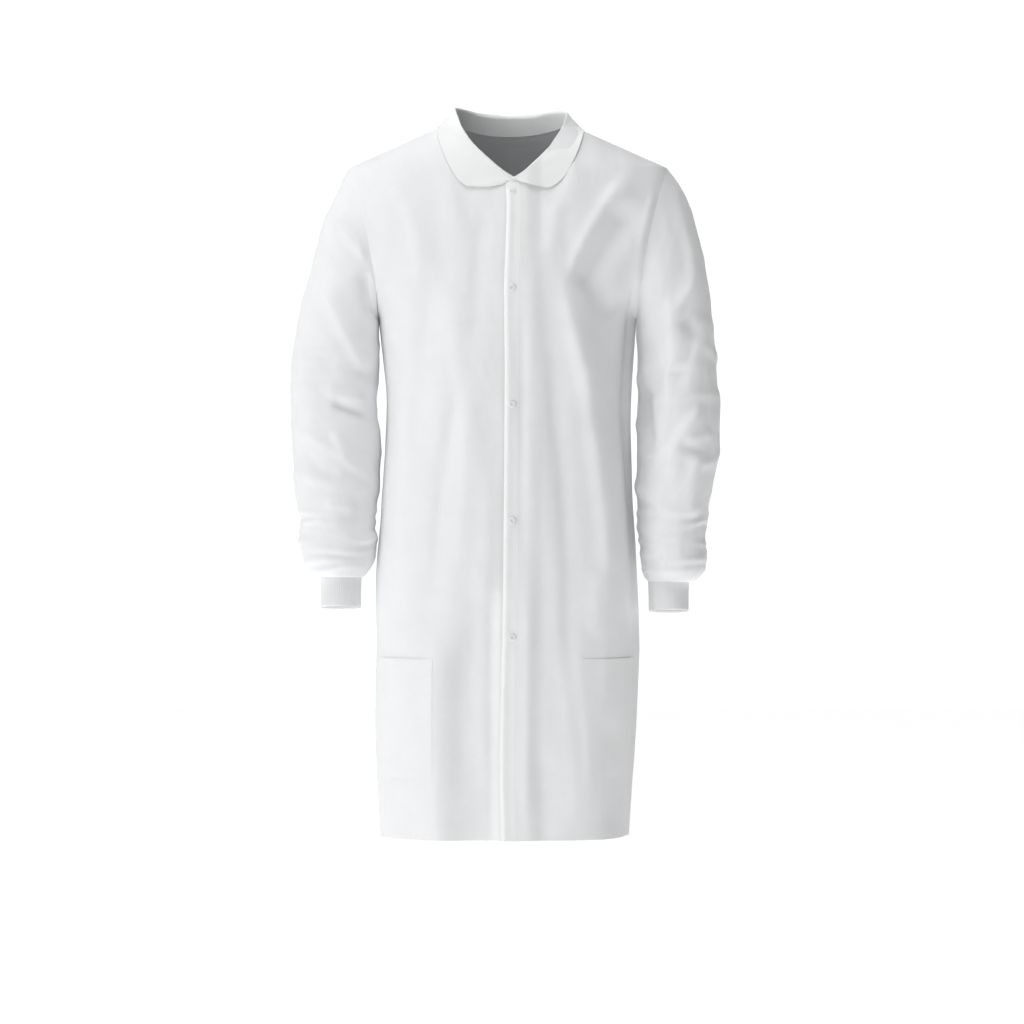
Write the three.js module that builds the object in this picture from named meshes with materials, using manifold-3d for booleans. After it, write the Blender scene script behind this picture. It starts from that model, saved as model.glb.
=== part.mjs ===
// Laboratory coat with knitted cuffs, a turned-down collar and a snap-fastened front.
// Millimetres, +Z up, the front faces -Y and the wearer's left is +X.
// The origin is midway between the two neck points, where collar seam and shoulder seam meet.
import * as THREE from "three";
import { LoftGeometry } from "three/addons/geometries/LoftGeometry.js";
import { mergeVertices } from "three/addons/utils/BufferGeometryUtils.js";
import Module from "manifold-3d";

const wasm = await Module();
wasm.setup();

// ---------------------------------------------------------------- driving dimensions
const COAT_LENGTH = 1019; // neck point to hem, straight down
const SHOULDER_HALF_WIDTH = 228; // centre to shoulder tip
const SHOULDER_DROP = 67; // shoulder tip below the neck point
const NECK_HALF_WIDTH = 78;
const NECK_FRONT_DEPTH = 88; // centre of the neck to the front neck edge
const NECK_BACK_DEPTH = 59;
const ARMHOLE_DROP = 215; // shoulder tip to underarm, straight down
const ARMHOLE_HALF_DEPTH = 66;
const ARMHOLE_BOW = 8; // the armhole seam bends this far towards the chest
const CHEST_HALF_WIDTH = 184;
const WAIST_HALF_WIDTH = 174;
const HIP_HALF_WIDTH = 189;
const HEM_HALF_WIDTH = 177;
const WAIST_DROP = 421; // below the neck point
const HIP_DROP = 800;
const NECK_RIDGE_HALF_DEPTH = 30; // body half depth at the height of the neck points
const CHEST_HALF_DEPTH = 124;
const HEM_HALF_DEPTH = 120;
const SECTION_POWER = 2.4; // 2 would make the body's sections plain ellipses
const WALL = 1.2; // cloth, with its folds and seams
const SEAM_GAP = 0.4;

const CLOSURE_X = 6.5; // the line of snaps
const FRONT_BAND_WIDTH = 21;
const UNDERLAP_EDGE_X = 19; // edge of the wearer's right front, under the left one
const FRONT_TOP_BELOW_NECK = 10.7; // both fronts turn back from here down
const LEFT_FOLD_TOP_X = 60;
const RIGHT_FOLD_TOP_X = -45;
const FOLD_HEM_X = 100;
const LAP_OFFSET = 5; // the left front lies this far before the right one
const LAP_END_X = 50; // the two fronts share one surface outside this

const FIRST_SNAP_BELOW_TOP = 14;
const SECOND_SNAP_DROP = 243.5;
const SNAP_PITCH = 163;
const SNAP_COUNT = 5;
const SNAP_CAP_RADIUS = 5.3;
const SNAP_CAP_HEIGHT = 1.9;
const SNAP_POST_RADIUS = 1.9;
const SNAP_FLANGE_RADIUS = 4.8;
const SNAP_FLANGE_HEIGHT = 0.8;
const SNAP_CLEARANCE = 0.3;

const COLLAR_PLY = 0.9;
const COLLAR_PLY_GAP = 1.1;
const COLLAR_STAND = 20;
const COLLAR_END_STAND = 8;
const COLLAR_ROLL_RADIUS = 4;
const COLLAR_LEAN = 0.2; // towards the neck, for each unit of stand
const LEAF_SIDE_X = 107;
const LEAF_FRONT_DEPTH = 92;
const LEAF_BACK_DEPTH = 78;
const LEAF_LIFT = 4; // the leaf's edge over the cloth below it
const LEAF_POWER = 4; // of the leaf edge's outline, seen from above, in front
const LEAF_BULGE = 3;
const LEAF_POINT_X = 58;
const TAPE_WIDTH = 13;
const TAPE_THICKNESS = 0.8;
const TAPE_INSET = 4.4; // its face against the cloth, inside the body's outer surface

const SLEEVE_DROP = 588; // shoulder tip to cuff seam, straight down
const SLEEVE_ELBOW_WIDTH = 121;
const SLEEVE_FOREARM_WIDTH = 104;
const SLEEVE_ELBOW_HALF_DEPTH = 62;
const SLEEVE_FOREARM_HALF_DEPTH = 54;
const SLEEVE_FORWARD = 28; // the wrist hangs this far before the shoulder
const SLEEVE_CLEARANCE = 2; // between the sleeve and the side of the body
const CUFF_LENGTH = 44;
const CUFF_TOP_RADIUS = 32;
const CUFF_END_RADIUS = 28;
const CUFF_WALL = 2;
const CUFF_TILT_RISE = 3; // the end's front edge over the middle of the end

const POCKET_HEIGHT = 170;
const POCKET_HEM_DISTANCE = 88;
const POCKET_INNER_X = 104;
const POCKET_SIDE_ANGLE = 10; // degrees from the side seam
const POCKET_GAPE = 10; // room in the middle of the mouth

// ---------------------------------------------------------------- places that follow
const HEM_Z = -COAT_LENGTH;
const TIP_Z = -SHOULDER_DROP;
const UNDERARM_Z = TIP_Z - ARMHOLE_DROP;
const CUFF_SEAM_Z = TIP_Z - SLEEVE_DROP;
const RING_POINTS = 36;
const SLEEVE_POINTS = 20;
const FAR = 400; // past every face of the coat

const { lerp, smoothstep, degToRad, clamp } = THREE.MathUtils;

function point(x, y, z) {
  return new THREE.Vector3(x, y, z);
}

function spread(from, to, steps) {
  return Array.from({ length: steps + 1 }, (_, i) => lerp(from, to, i / steps));
}

// A smooth value between neighbouring [place, value] pairs, whose places rise.
function between(stations, place) {
  const next = stations.findIndex(([at]) => at >= place);
  if (next === 0) return stations[0][1];
  if (next < 0) return stations[stations.length - 1][1];
  const [low, before] = stations[next - 1];
  const [high, after] = stations[next];
  return lerp(before, after, smoothstep(place, low, high));
}

// ---------------------------------------------------------------- solids
function solidOf(geometry) {
  const bare = new THREE.BufferGeometry();
  bare.setAttribute("position", geometry.getAttribute("position"));
  bare.setIndex(geometry.index);
  const merged = mergeVertices(bare, 1e-4);
  const mesh = new wasm.Mesh({
    numProp: 3,
    vertProperties: merged.attributes.position.array,
    triVerts: new Uint32Array(merged.index.array),
  });
  return new wasm.Manifold(mesh);
}

function geometryOf(solid) {
  const mesh = solid.getMesh();
  const geometry = new THREE.BufferGeometry();
  geometry.setAttribute("position", new THREE.BufferAttribute(mesh.vertProperties, 3));
  geometry.setIndex(new THREE.BufferAttribute(mesh.triVerts, 1));
  geometry.computeVertexNormals();
  return geometry;
}

// An outline drawn in X and Z, carried from one depth to another along Y.
function prism(outline, fromY, toY) {
  const shape = new THREE.Shape(outline);
  const geometry = new THREE.ExtrudeGeometry(shape, { depth: toY - fromY, bevelEnabled: false });
  geometry.rotateX(Math.PI / 2);
  geometry.translate(0, toY, 0);
  return solidOf(geometry);
}

// A wall between two rows of rings, open at both ends.
function wallBetween(outerRings, innerRings) {
  return new LoftGeometry([...outerRings, ...innerRings.reverse(), outerRings[0]]);
}

// ---------------------------------------------------------------- body surface
// The armhole seam, seen from the front: a chord from the shoulder tip to the underarm, bowed inwards.
function armholeX(z) {
  const along = clamp((TIP_Z - z) / ARMHOLE_DROP, 0, 1);
  const fromMiddle = 2 * along - 1;
  return lerp(SHOULDER_HALF_WIDTH, CHEST_HALF_WIDTH, along) - ARMHOLE_BOW * (1 - fromMiddle ** 2);
}

function bodyHalfDepth(z, outset = 0) {
  const below = clamp(z / UNDERARM_Z, 0, 1);
  const upper = lerp(NECK_RIDGE_HALF_DEPTH, CHEST_HALF_DEPTH, below ** 0.4);
  const lower = lerp(CHEST_HALF_DEPTH, HEM_HALF_DEPTH, clamp((UNDERARM_Z - z) / (UNDERARM_Z - HEM_Z), 0, 1));
  return (z > UNDERARM_Z ? upper : lower) + outset;
}

function bodyHalfWidth(z, outset = 0) {
  if (z >= TIP_Z) return lerp(NECK_HALF_WIDTH, SHOULDER_HALF_WIDTH, z / TIP_Z) + outset;
  if (z > UNDERARM_Z) {
    const fromMiddle = (2 * (TIP_Z - z)) / ARMHOLE_DROP - 1;
    const opening = ARMHOLE_HALF_DEPTH * Math.sqrt(1 - fromMiddle ** 2);
    const share = 1 - (opening / bodyHalfDepth(z)) ** SECTION_POWER;
    return armholeX(z) / share ** (1 / SECTION_POWER) + outset;
  }
  const stations = [
    [HEM_Z, HEM_HALF_WIDTH],
    [-HIP_DROP, HIP_HALF_WIDTH],
    [-WAIST_DROP, WAIST_HALF_WIDTH],
    [UNDERARM_Z, CHEST_HALF_WIDTH],
  ];
  return between(stations, z) + outset;
}

// Depth of the body's surface at a place seen from the front.
function surfaceDepth(x, z, outset = 0) {
  const across = Math.min(1, Math.abs(x) / bodyHalfWidth(z, outset));
  return bodyHalfDepth(z, outset) * (1 - across ** SECTION_POWER) ** (1 / SECTION_POWER);
}

// Height of the shoulders and upper chest at a place seen from above.
function surfaceHeight(x, y) {
  let high = 0;
  let low = UNDERARM_Z;
  for (let step = 0; step < 40; step += 1) {
    const middle = (high + low) / 2;
    const inside = surfaceDepth(x, middle) > Math.abs(y) && Math.abs(x) < bodyHalfWidth(middle);
    if (inside) low = middle;
    else high = middle;
  }
  return low;
}

// A point at an angle round one section; 0 is the wearer's left side and -90 degrees the front.
function superellipse(angle, halfWidth, halfDepth, power) {
  const cosine = Math.cos(angle);
  const sine = Math.sin(angle);
  const x = halfWidth * Math.sign(cosine) * Math.abs(cosine) ** (2 / power);
  const y = halfDepth * Math.sign(sine) * Math.abs(sine) ** (2 / power);
  return [x, y];
}

function bodyPoint(angle, z, outset = 0) {
  const [x, y] = superellipse(angle, bodyHalfWidth(z, outset), bodyHalfDepth(z, outset), SECTION_POWER);
  return point(x, y, z);
}

function bodyRing(z, outset, lowered) {
  const angles = spread(0, 2 * Math.PI, RING_POINTS).slice(0, -1);
  return angles.map((angle) => bodyPoint(angle, z, outset).setZ(z - lowered));
}

const bodyHeights = [
  ...spread(HEM_Z, UNDERARM_Z, 7),
  ...spread(UNDERARM_Z, TIP_Z, 6).slice(1),
  ...spread(1, 0, 5).slice(1).map((share) => TIP_Z * share ** 2),
];

function makeBodyShell() {
  const capped = { capStart: true, capEnd: true };
  const outside = bodyHeights.map((z) => bodyRing(z, 0, 0));
  const underShoulder = (z) => 1.5 * WALL * smoothstep(z, UNDERARM_Z, TIP_Z);
  const inside = bodyHeights.map((z) => bodyRing(z, -WALL, underShoulder(z)));
  inside[0] = inside[0].map((corner) => corner.clone().setZ(HEM_Z - WALL));
  const outer = solidOf(new LoftGeometry(outside, capped));
  const inner = solidOf(new LoftGeometry(inside, capped));
  return outer.subtract(inner);
}

// ---------------------------------------------------------------- neck edge
function neckPoint(angle) {
  const halfDepth = Math.sin(angle) < 0 ? NECK_FRONT_DEPTH : NECK_BACK_DEPTH;
  const [x, y] = superellipse(angle, NECK_HALF_WIDTH, halfDepth, SECTION_POWER);
  return point(x, y, surfaceHeight(x, y));
}

function neckOutline(fromAngle, toAngle) {
  return spread(degToRad(fromAngle), degToRad(toAngle), 14).map((angle) => {
    const { x, z } = neckPoint(angle);
    return new THREE.Vector2(x, z);
  });
}

function armholeOutline(side) {
  return spread(TIP_Z, UNDERARM_Z, 12).map((z) => new THREE.Vector2(side * armholeX(z), z));
}

const FRONT_TOP_Z = surfaceHeight(0, NECK_FRONT_DEPTH) - FRONT_TOP_BELOW_NECK;

// ---------------------------------------------------------------- body panels
const bodyShell = makeBodyShell();

function makeBackPanel() {
  const neck = neckOutline(0, 180);
  const outline = [
    ...neck,
    new THREE.Vector2(-NECK_HALF_WIDTH, FAR),
    new THREE.Vector2(-FAR, FAR),
    new THREE.Vector2(-FAR, TIP_Z),
    ...armholeOutline(-1),
    new THREE.Vector2(-FAR, UNDERARM_Z),
    new THREE.Vector2(-FAR, HEM_Z - FAR),
    new THREE.Vector2(FAR, HEM_Z - FAR),
    new THREE.Vector2(FAR, UNDERARM_Z),
    ...armholeOutline(1).reverse(),
    new THREE.Vector2(FAR, TIP_Z),
    new THREE.Vector2(FAR, FAR),
    new THREE.Vector2(NECK_HALF_WIDTH, FAR),
  ];
  return geometryOf(bodyShell.intersect(prism(outline, SEAM_GAP / 2, FAR)));
}

function foldX(foldTopX, z) {
  const hemX = Math.sign(foldTopX) * FOLD_HEM_X;
  return lerp(foldTopX, hemX, (FRONT_TOP_Z - z) / (FRONT_TOP_Z - HEM_Z));
}

function makeFrontSide(foldTopX) {
  const side = Math.sign(foldTopX);
  const fold = foldTopX + (side * SEAM_GAP) / 2;
  const belowHem = HEM_Z - FAR;
  const neck = neckOutline(0, -90).map(({ x, y }) => new THREE.Vector2(side * x, y));
  const centre = side * SEAM_GAP;
  const outline = [
    ...neck.slice(0, -1),
    new THREE.Vector2(centre, neck[neck.length - 1].y),
    new THREE.Vector2(centre, FRONT_TOP_Z + SEAM_GAP),
    new THREE.Vector2(fold, FRONT_TOP_Z + SEAM_GAP),
    new THREE.Vector2(foldX(fold, belowHem), belowHem),
    new THREE.Vector2(side * FAR, belowHem),
    new THREE.Vector2(side * FAR, UNDERARM_Z),
    ...armholeOutline(side).reverse(),
    new THREE.Vector2(side * FAR, TIP_Z),
    new THREE.Vector2(side * FAR, FAR),
    new THREE.Vector2(side * NECK_HALF_WIDTH, FAR),
  ];
  return geometryOf(bodyShell.intersect(prism(outline, -FAR, -SEAM_GAP / 2)));
}

// ---------------------------------------------------------------- turning fronts
const snapHeights = Array.from({ length: SNAP_COUNT }, (_, i) =>
  i === 0 ? FRONT_TOP_Z - FIRST_SNAP_BELOW_TOP : -SECOND_SNAP_DROP - (i - 1) * SNAP_PITCH,
);

function lapOffset(x) {
  return LAP_OFFSET * (1 - smoothstep(Math.abs(x), LAP_END_X / 2, LAP_END_X));
}

// The cloth is flat under each snap, so a front has a row just above and just below it.
function frontHeights() {
  const flat = SNAP_CAP_RADIUS + 1;
  const rows = snapHeights.flatMap((z) => [z - flat, Math.min(z + flat, FRONT_TOP_Z)]);
  const middles = snapHeights.slice(1).map((z, i) => (z + snapHeights[i]) / 2);
  const skirt = (HEM_Z + snapHeights[SNAP_COUNT - 1]) / 2;
  return [...new Set([HEM_Z, skirt, ...rows, ...middles, FRONT_TOP_Z])].sort((a, b) => a - b);
}

function makeFront(foldTopX, edgeX, offset) {
  const sections = frontHeights().map((z) => {
    const fold = foldX(foldTopX - (Math.sign(foldTopX) * SEAM_GAP) / 2, z);
    const places = spread(Math.min(fold, edgeX), Math.max(fold, edgeX), 8);
    const outer = places.map((x) => point(x, -surfaceDepth(x, z) - offset(x), z));
    const inner = outer.map(({ x, y }) => point(x, y + WALL, z)).reverse();
    return [...outer, ...inner];
  });
  return new LoftGeometry(sections, { capStart: true, capEnd: true });
}

// ---------------------------------------------------------------- collar
// Half the collar's stations, from the front end to the middle of the back, then mirrored.
const COLLAR_END_ANGLE = Math.acos((CLOSURE_X / NECK_HALF_WIDTH) ** (SECTION_POWER / 2));
const LEAF_END_ANGLE = Math.acos((LEAF_POINT_X / LEAF_SIDE_X) ** (LEAF_POWER / 2));

function leafPoint(angle) {
  const front = angle < 0;
  const turned = front ? (angle * LEAF_END_ANGLE) / COLLAR_END_ANGLE : angle;
  const halfDepth = front ? LEAF_FRONT_DEPTH : LEAF_BACK_DEPTH;
  const power = front ? LEAF_POWER : SECTION_POWER;
  const [x, y] = superellipse(turned, LEAF_SIDE_X, halfDepth, power);
  const out = point(x, y, 0).normalize().multiplyScalar(LEAF_LIFT);
  return point(x, y, surfaceHeight(x, y) + LEAF_LIFT).add(out);
}

// The folded strip's section: up the stand, round the roll and down the leaf.
function collarPath(angle) {
  const seam = neckPoint(angle);
  const towardsEnd = clamp(-angle / COLLAR_END_ANGLE, 0, 1);
  const stand = lerp(COLLAR_STAND, COLLAR_END_STAND, smoothstep(towardsEnd, 0.75, 1));
  const outward = point(seam.x, seam.y, 0).normalize();
  const foot = seam.clone().setZ(seam.z + SEAM_GAP);
  const top = foot.clone().setZ(foot.z + stand).addScaledVector(outward, -COLLAR_LEAN * stand);
  const edge = leafPoint(angle);
  const rise = top.clone().sub(foot).normalize();
  const fall = edge.clone().sub(top);
  const across = rise.clone().cross(fall).normalize();
  const towardsLeaf = across.clone().cross(rise);
  const radius = COLLAR_ROLL_RADIUS;
  const roll = [0, 50, 100].map(degToRad).map((turn) => {
    const place = top.clone().addScaledVector(towardsLeaf, radius * (1 - Math.cos(turn)));
    return place.addScaledVector(rise, radius * (Math.sin(turn) - 1));
  });
  const middle = roll[2].clone().lerp(edge, 0.5);
  middle.addScaledVector(across.clone().cross(fall.normalize()), -LEAF_BULGE);
  return { across, corners: [foot, ...roll, middle, edge] };
}

function collarSection(angle, near, far) {
  const { across, corners } = collarPath(angle);
  const shifted = (by) =>
    corners.map((corner, i) => {
      const before = corners[Math.max(i - 1, 0)];
      const after = corners[Math.min(i + 1, corners.length - 1)];
      const along = after.clone().sub(before).normalize();
      return corner.clone().addScaledVector(across.clone().cross(along), by);
    });
  return [...shifted(near), ...shifted(far).reverse()];
}

function makeCollarPly(near, far) {
  const half = [...spread(-COLLAR_END_ANGLE, 0, 12), ...spread(0, Math.PI / 2, 6).slice(1)];
  const left = half.map((angle) => collarSection(angle, near, far));
  const right = left.slice(0, -1).reverse();
  const mirrored = right.map((section) => section.map(({ x, y, z }) => point(-x, y, z)));
  return new LoftGeometry([...left, ...mirrored], { capStart: true, capEnd: true });
}

// The under ply lies inside the fold and stays clear of the upper one where the strip twists.
function makeCollarUnderPly() {
  const near = COLLAR_PLY + COLLAR_PLY_GAP;
  const ply = solidOf(makeCollarPly(near, near + COLLAR_PLY));
  const room = solidOf(makeCollarPly(0, COLLAR_PLY + SEAM_GAP));
  const pieces = ply.subtract(room).decompose();
  const largest = pieces.reduce((a, b) => (a.volume() > b.volume() ? a : b));
  return geometryOf(largest);
}

// Tape over the back neck seam, on the inside.
function makeNeckTape() {
  const sections = spread(degToRad(42), degToRad(138), 14).map((angle) => {
    const seam = neckPoint(angle);
    const top = seam.z - 3.5;
    const corner = (z, more) => point(seam.x, surfaceDepth(seam.x, z, -TAPE_INSET) - more, z);
    const low = top - TAPE_WIDTH;
    return [corner(top, 0), corner(low, 0), corner(low, TAPE_THICKNESS), corner(top, TAPE_THICKNESS)];
  });
  return new LoftGeometry(sections, { capStart: true, capEnd: true });
}

// ---------------------------------------------------------------- sleeves
const sleeveInnerX = CHEST_HALF_WIDTH + SLEEVE_CLEARANCE;
const cuffCentreX = sleeveInnerX + SLEEVE_FOREARM_WIDTH / 2 - 5;

// Heights along the sleeve's two edges, as shares of what each has below the armhole.
function sleeveEdges() {
  const outerZ = (share) => TIP_Z - share * SLEEVE_DROP;
  const innerZ = (share) => UNDERARM_Z - share * (SLEEVE_DROP - ARMHOLE_DROP);
  const inner = new THREE.CatmullRomCurve3([
    point(CHEST_HALF_WIDTH + SEAM_GAP, 0, innerZ(0)),
    point(sleeveInnerX - 0.5, 0, innerZ(0.03)),
    point(sleeveInnerX, 0, innerZ(0.1)),
    point(sleeveInnerX - 2, 0, innerZ(0.33)),
    point(sleeveInnerX - 1, 0, innerZ(0.58)),
    point(sleeveInnerX + 3, 0, innerZ(0.84)),
    point(cuffCentreX - CUFF_TOP_RADIUS, 0, innerZ(1)),
  ]);
  const outer = new THREE.CatmullRomCurve3([
    point(SHOULDER_HALF_WIDTH + SEAM_GAP, 0, outerZ(0)),
    point(SHOULDER_HALF_WIDTH + 34, 0, outerZ(0.12)),
    point(sleeveInnerX + SLEEVE_ELBOW_WIDTH - 15, 0, outerZ(0.3)),
    point(sleeveInnerX + SLEEVE_ELBOW_WIDTH - 3, 0, outerZ(0.54)),
    point(sleeveInnerX + SLEEVE_ELBOW_WIDTH - 7, 0, outerZ(0.75)),
    point(sleeveInnerX + SLEEVE_FOREARM_WIDTH, 0, outerZ(0.9)),
    point(cuffCentreX + CUFF_TOP_RADIUS, 0, outerZ(1)),
  ]);
  return { inner, outer };
}

const sleeve = sleeveEdges();

function sleeveHalfDepth(along) {
  const stations = [
    [0, ARMHOLE_HALF_DEPTH],
    [0.55, SLEEVE_ELBOW_HALF_DEPTH],
    [0.85, SLEEVE_FOREARM_HALF_DEPTH],
    [1, CUFF_TOP_RADIUS],
  ];
  return between(stations, along);
}

function sleeveRing(along, inset) {
  const inner = sleeve.inner.getPoint(along);
  const outer = sleeve.outer.getPoint(along);
  const middle = inner.clone().add(outer).multiplyScalar(0.5);
  const half = outer.clone().sub(middle);
  const towardsChest = point(-half.z, 0, half.x).normalize().multiplyScalar(-1);
  const bow = ARMHOLE_BOW * (1 - smoothstep(along, 0, 0.35));
  const forward = -SLEEVE_FORWARD * along ** 2;
  const size = 1 - inset / half.length();
  return spread(0, 2 * Math.PI, SLEEVE_POINTS).slice(0, -1).map((angle) => {
    const place = middle.clone().addScaledVector(half, size * Math.cos(angle));
    place.addScaledVector(towardsChest, -bow * Math.sin(angle) ** 2);
    place.y = forward - (sleeveHalfDepth(along) - inset) * Math.sin(angle);
    return place;
  });
}

function makeSleeve() {
  const stations = spread(0, 1, 12);
  const outer = stations.map((along) => sleeveRing(along, 0));
  const inner = stations.map((along) => sleeveRing(along, WALL));
  return wallBetween(outer, inner);
}

function cuffRing(along, inset) {
  const radius = lerp(CUFF_TOP_RADIUS, CUFF_END_RADIUS, along) - inset;
  const z = CUFF_SEAM_Z - SEAM_GAP - along * CUFF_LENGTH;
  return spread(0, 2 * Math.PI, SLEEVE_POINTS).slice(0, -1).map((angle) => {
    const rise = CUFF_TILT_RISE * along * Math.sin(angle);
    const x = cuffCentreX + radius * Math.cos(angle);
    const y = -SLEEVE_FORWARD - 0.08 * along * CUFF_LENGTH - radius * Math.sin(angle);
    return point(x, y, z + rise);
  });
}

function makeCuff() {
  const stations = spread(0, 1, 3);
  const outer = stations.map((along) => cuffRing(along, 0));
  const inner = stations.map((along) => cuffRing(along, CUFF_WALL));
  return wallBetween(outer, inner);
}

// ---------------------------------------------------------------- hip pockets
// A patch sewn along its sides and bottom; it stands off the coat in the middle of its mouth.
function makePocket() {
  const low = HEM_Z + POCKET_HEM_DISTANCE;
  const sections = spread(low, low + POCKET_HEIGHT, 8).map((z, row) => {
    const cosine = (POCKET_INNER_X / bodyHalfWidth(z)) ** (SECTION_POWER / 2);
    const angles = spread(-Math.acos(cosine), -degToRad(POCKET_SIDE_ANGLE), 12);
    const open = smoothstep(row / 8, 0, 0.5);
    const standOff = (i) => 2 * SEAM_GAP + POCKET_GAPE * open * Math.sin((Math.PI * i) / 12) ** 0.7;
    const outer = angles.map((angle, i) => bodyPoint(angle, z, standOff(i) + WALL));
    const inner = angles.map((angle, i) => bodyPoint(angle, z, standOff(i))).reverse();
    return [...outer, ...inner];
  });
  return new LoftGeometry(sections, { capStart: true, capEnd: true });
}

// ---------------------------------------------------------------- snaps
// Each profile runs from the front of the coat to its back, as [radius, place behind the face].
function turned(profile) {
  const points = profile.map(([radius, y]) => new THREE.Vector2(radius, y));
  return new THREE.LatheGeometry(points, 12);
}

function makeSnapCap() {
  return turned([
    [0, -SNAP_CAP_HEIGHT],
    [SNAP_CAP_RADIUS * 0.55, -SNAP_CAP_HEIGHT * 0.92],
    [SNAP_CAP_RADIUS * 0.88, -SNAP_CAP_HEIGHT * 0.62],
    [SNAP_CAP_RADIUS, -SNAP_CAP_HEIGHT * 0.3],
    [SNAP_CAP_RADIUS, 0],
    [0, 0],
  ]);
}

const SOCKET_HEIGHT = LAP_OFFSET - WALL - SNAP_FLANGE_HEIGHT - 4 * SNAP_CLEARANCE;
const POST_HEIGHT = SNAP_FLANGE_HEIGHT + SOCKET_HEIGHT;

function makeSnapSocket() {
  const bore = SNAP_POST_RADIUS + SNAP_CLEARANCE;
  return turned([
    [bore, -SOCKET_HEIGHT],
    [SNAP_FLANGE_RADIUS, -SOCKET_HEIGHT],
    [SNAP_FLANGE_RADIUS * 0.9, 0],
    [bore, 0],
    [bore, -SOCKET_HEIGHT],
  ]);
}

function makeSnapStud() {
  return turned([
    [0, -POST_HEIGHT],
    [SNAP_POST_RADIUS * 0.8, -POST_HEIGHT],
    [SNAP_POST_RADIUS, -POST_HEIGHT + 0.4],
    [SNAP_POST_RADIUS, -SNAP_FLANGE_HEIGHT],
    [SNAP_FLANGE_RADIUS, -SNAP_FLANGE_HEIGHT],
    [SNAP_FLANGE_RADIUS, 0],
    [0, 0],
  ]);
}

function makeSnapBacking() {
  return turned([
    [0, -SNAP_FLANGE_HEIGHT],
    [SNAP_FLANGE_RADIUS, -SNAP_FLANGE_HEIGHT],
    [SNAP_FLANGE_RADIUS * 0.85, 0],
    [0, 0],
  ]);
}

// ---------------------------------------------------------------- assembly
const cloth = { color: 0xf3f4f6, roughness: 0.85, metalness: 0 };
const knit = { color: 0xf1f1ef, roughness: 0.95, metalness: 0 };
const plastic = { color: 0xf7f7f7, roughness: 0.3, metalness: 0 };
const tape = { color: 0xe9eaec, roughness: 0.8, metalness: 0 };

const coat = new THREE.Group();

function add(name, geometry, look, parent = coat) {
  const mesh = new THREE.Mesh(geometry, new THREE.MeshStandardMaterial(look));
  mesh.name = name;
  parent.add(mesh);
  return mesh;
}

add("back_panel", makeBackPanel(), cloth);
add("left_front_side", makeFrontSide(LEFT_FOLD_TOP_X), cloth);
add("right_front_side", makeFrontSide(RIGHT_FOLD_TOP_X), cloth);
add("left_front_flap", makeFront(LEFT_FOLD_TOP_X, CLOSURE_X - FRONT_BAND_WIDTH / 2, lapOffset), cloth);
add("right_front_flap", makeFront(RIGHT_FOLD_TOP_X, UNDERLAP_EDGE_X, () => 0), cloth);
add("collar_upper_ply", makeCollarPly(0, COLLAR_PLY), cloth);
add("collar_under_ply", makeCollarUnderPly(), cloth);
add("neck_tape", makeNeckTape(), tape);

for (const [side, mirror] of [["left", 1], ["right", -1]]) {
  add(`${side}_sleeve`, makeSleeve(), cloth).scale.x = mirror;
  add(`${side}_cuff`, makeCuff(), knit).scale.x = mirror;
  add(`${side}_hip_pocket`, makePocket(), cloth).scale.x = mirror;
}

snapHeights.forEach((z, i) => {
  const step = SNAP_CAP_RADIUS;
  const slope = (surfaceDepth(CLOSURE_X, z - step) - surfaceDepth(CLOSURE_X, z + step)) / (2 * step);
  const lean = Math.atan(slope);
  const snap = new THREE.Group();
  snap.position.set(CLOSURE_X, -surfaceDepth(CLOSURE_X, z), z);
  snap.rotation.x = -lean;
  coat.add(snap);
  const lap = LAP_OFFSET * Math.cos(lean);
  const wall = WALL * Math.cos(lean);
  const parts = [
    ["cap", makeSnapCap(), -lap - SNAP_CLEARANCE],
    ["socket", makeSnapSocket(), -lap + wall + SNAP_CLEARANCE + SOCKET_HEIGHT],
    ["stud", makeSnapStud(), -SNAP_CLEARANCE],
    ["backing", makeSnapBacking(), wall + SNAP_CLEARANCE + SNAP_FLANGE_HEIGHT],
  ];
  for (const [part, geometry, place] of parts) {
    add(`snap_${i + 1}_${part}`, geometry, plastic, snap).position.y = place;
  }
});

export default coat;
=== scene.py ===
# %% [markdown]
# # A single-use laboratory coat, modelled in cloth
#
# The coat is cut from white nonwoven cloth: a back, two fronts that overlap at five snaps, two long
# sleeves with knitted cuffs, a turned-down collar and two patch pockets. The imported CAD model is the
# fixed frame. Every soft piece below is laid where its CAD solid is, at the same size, and adds the
# folds, seams and finish that cloth has.

import math

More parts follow.
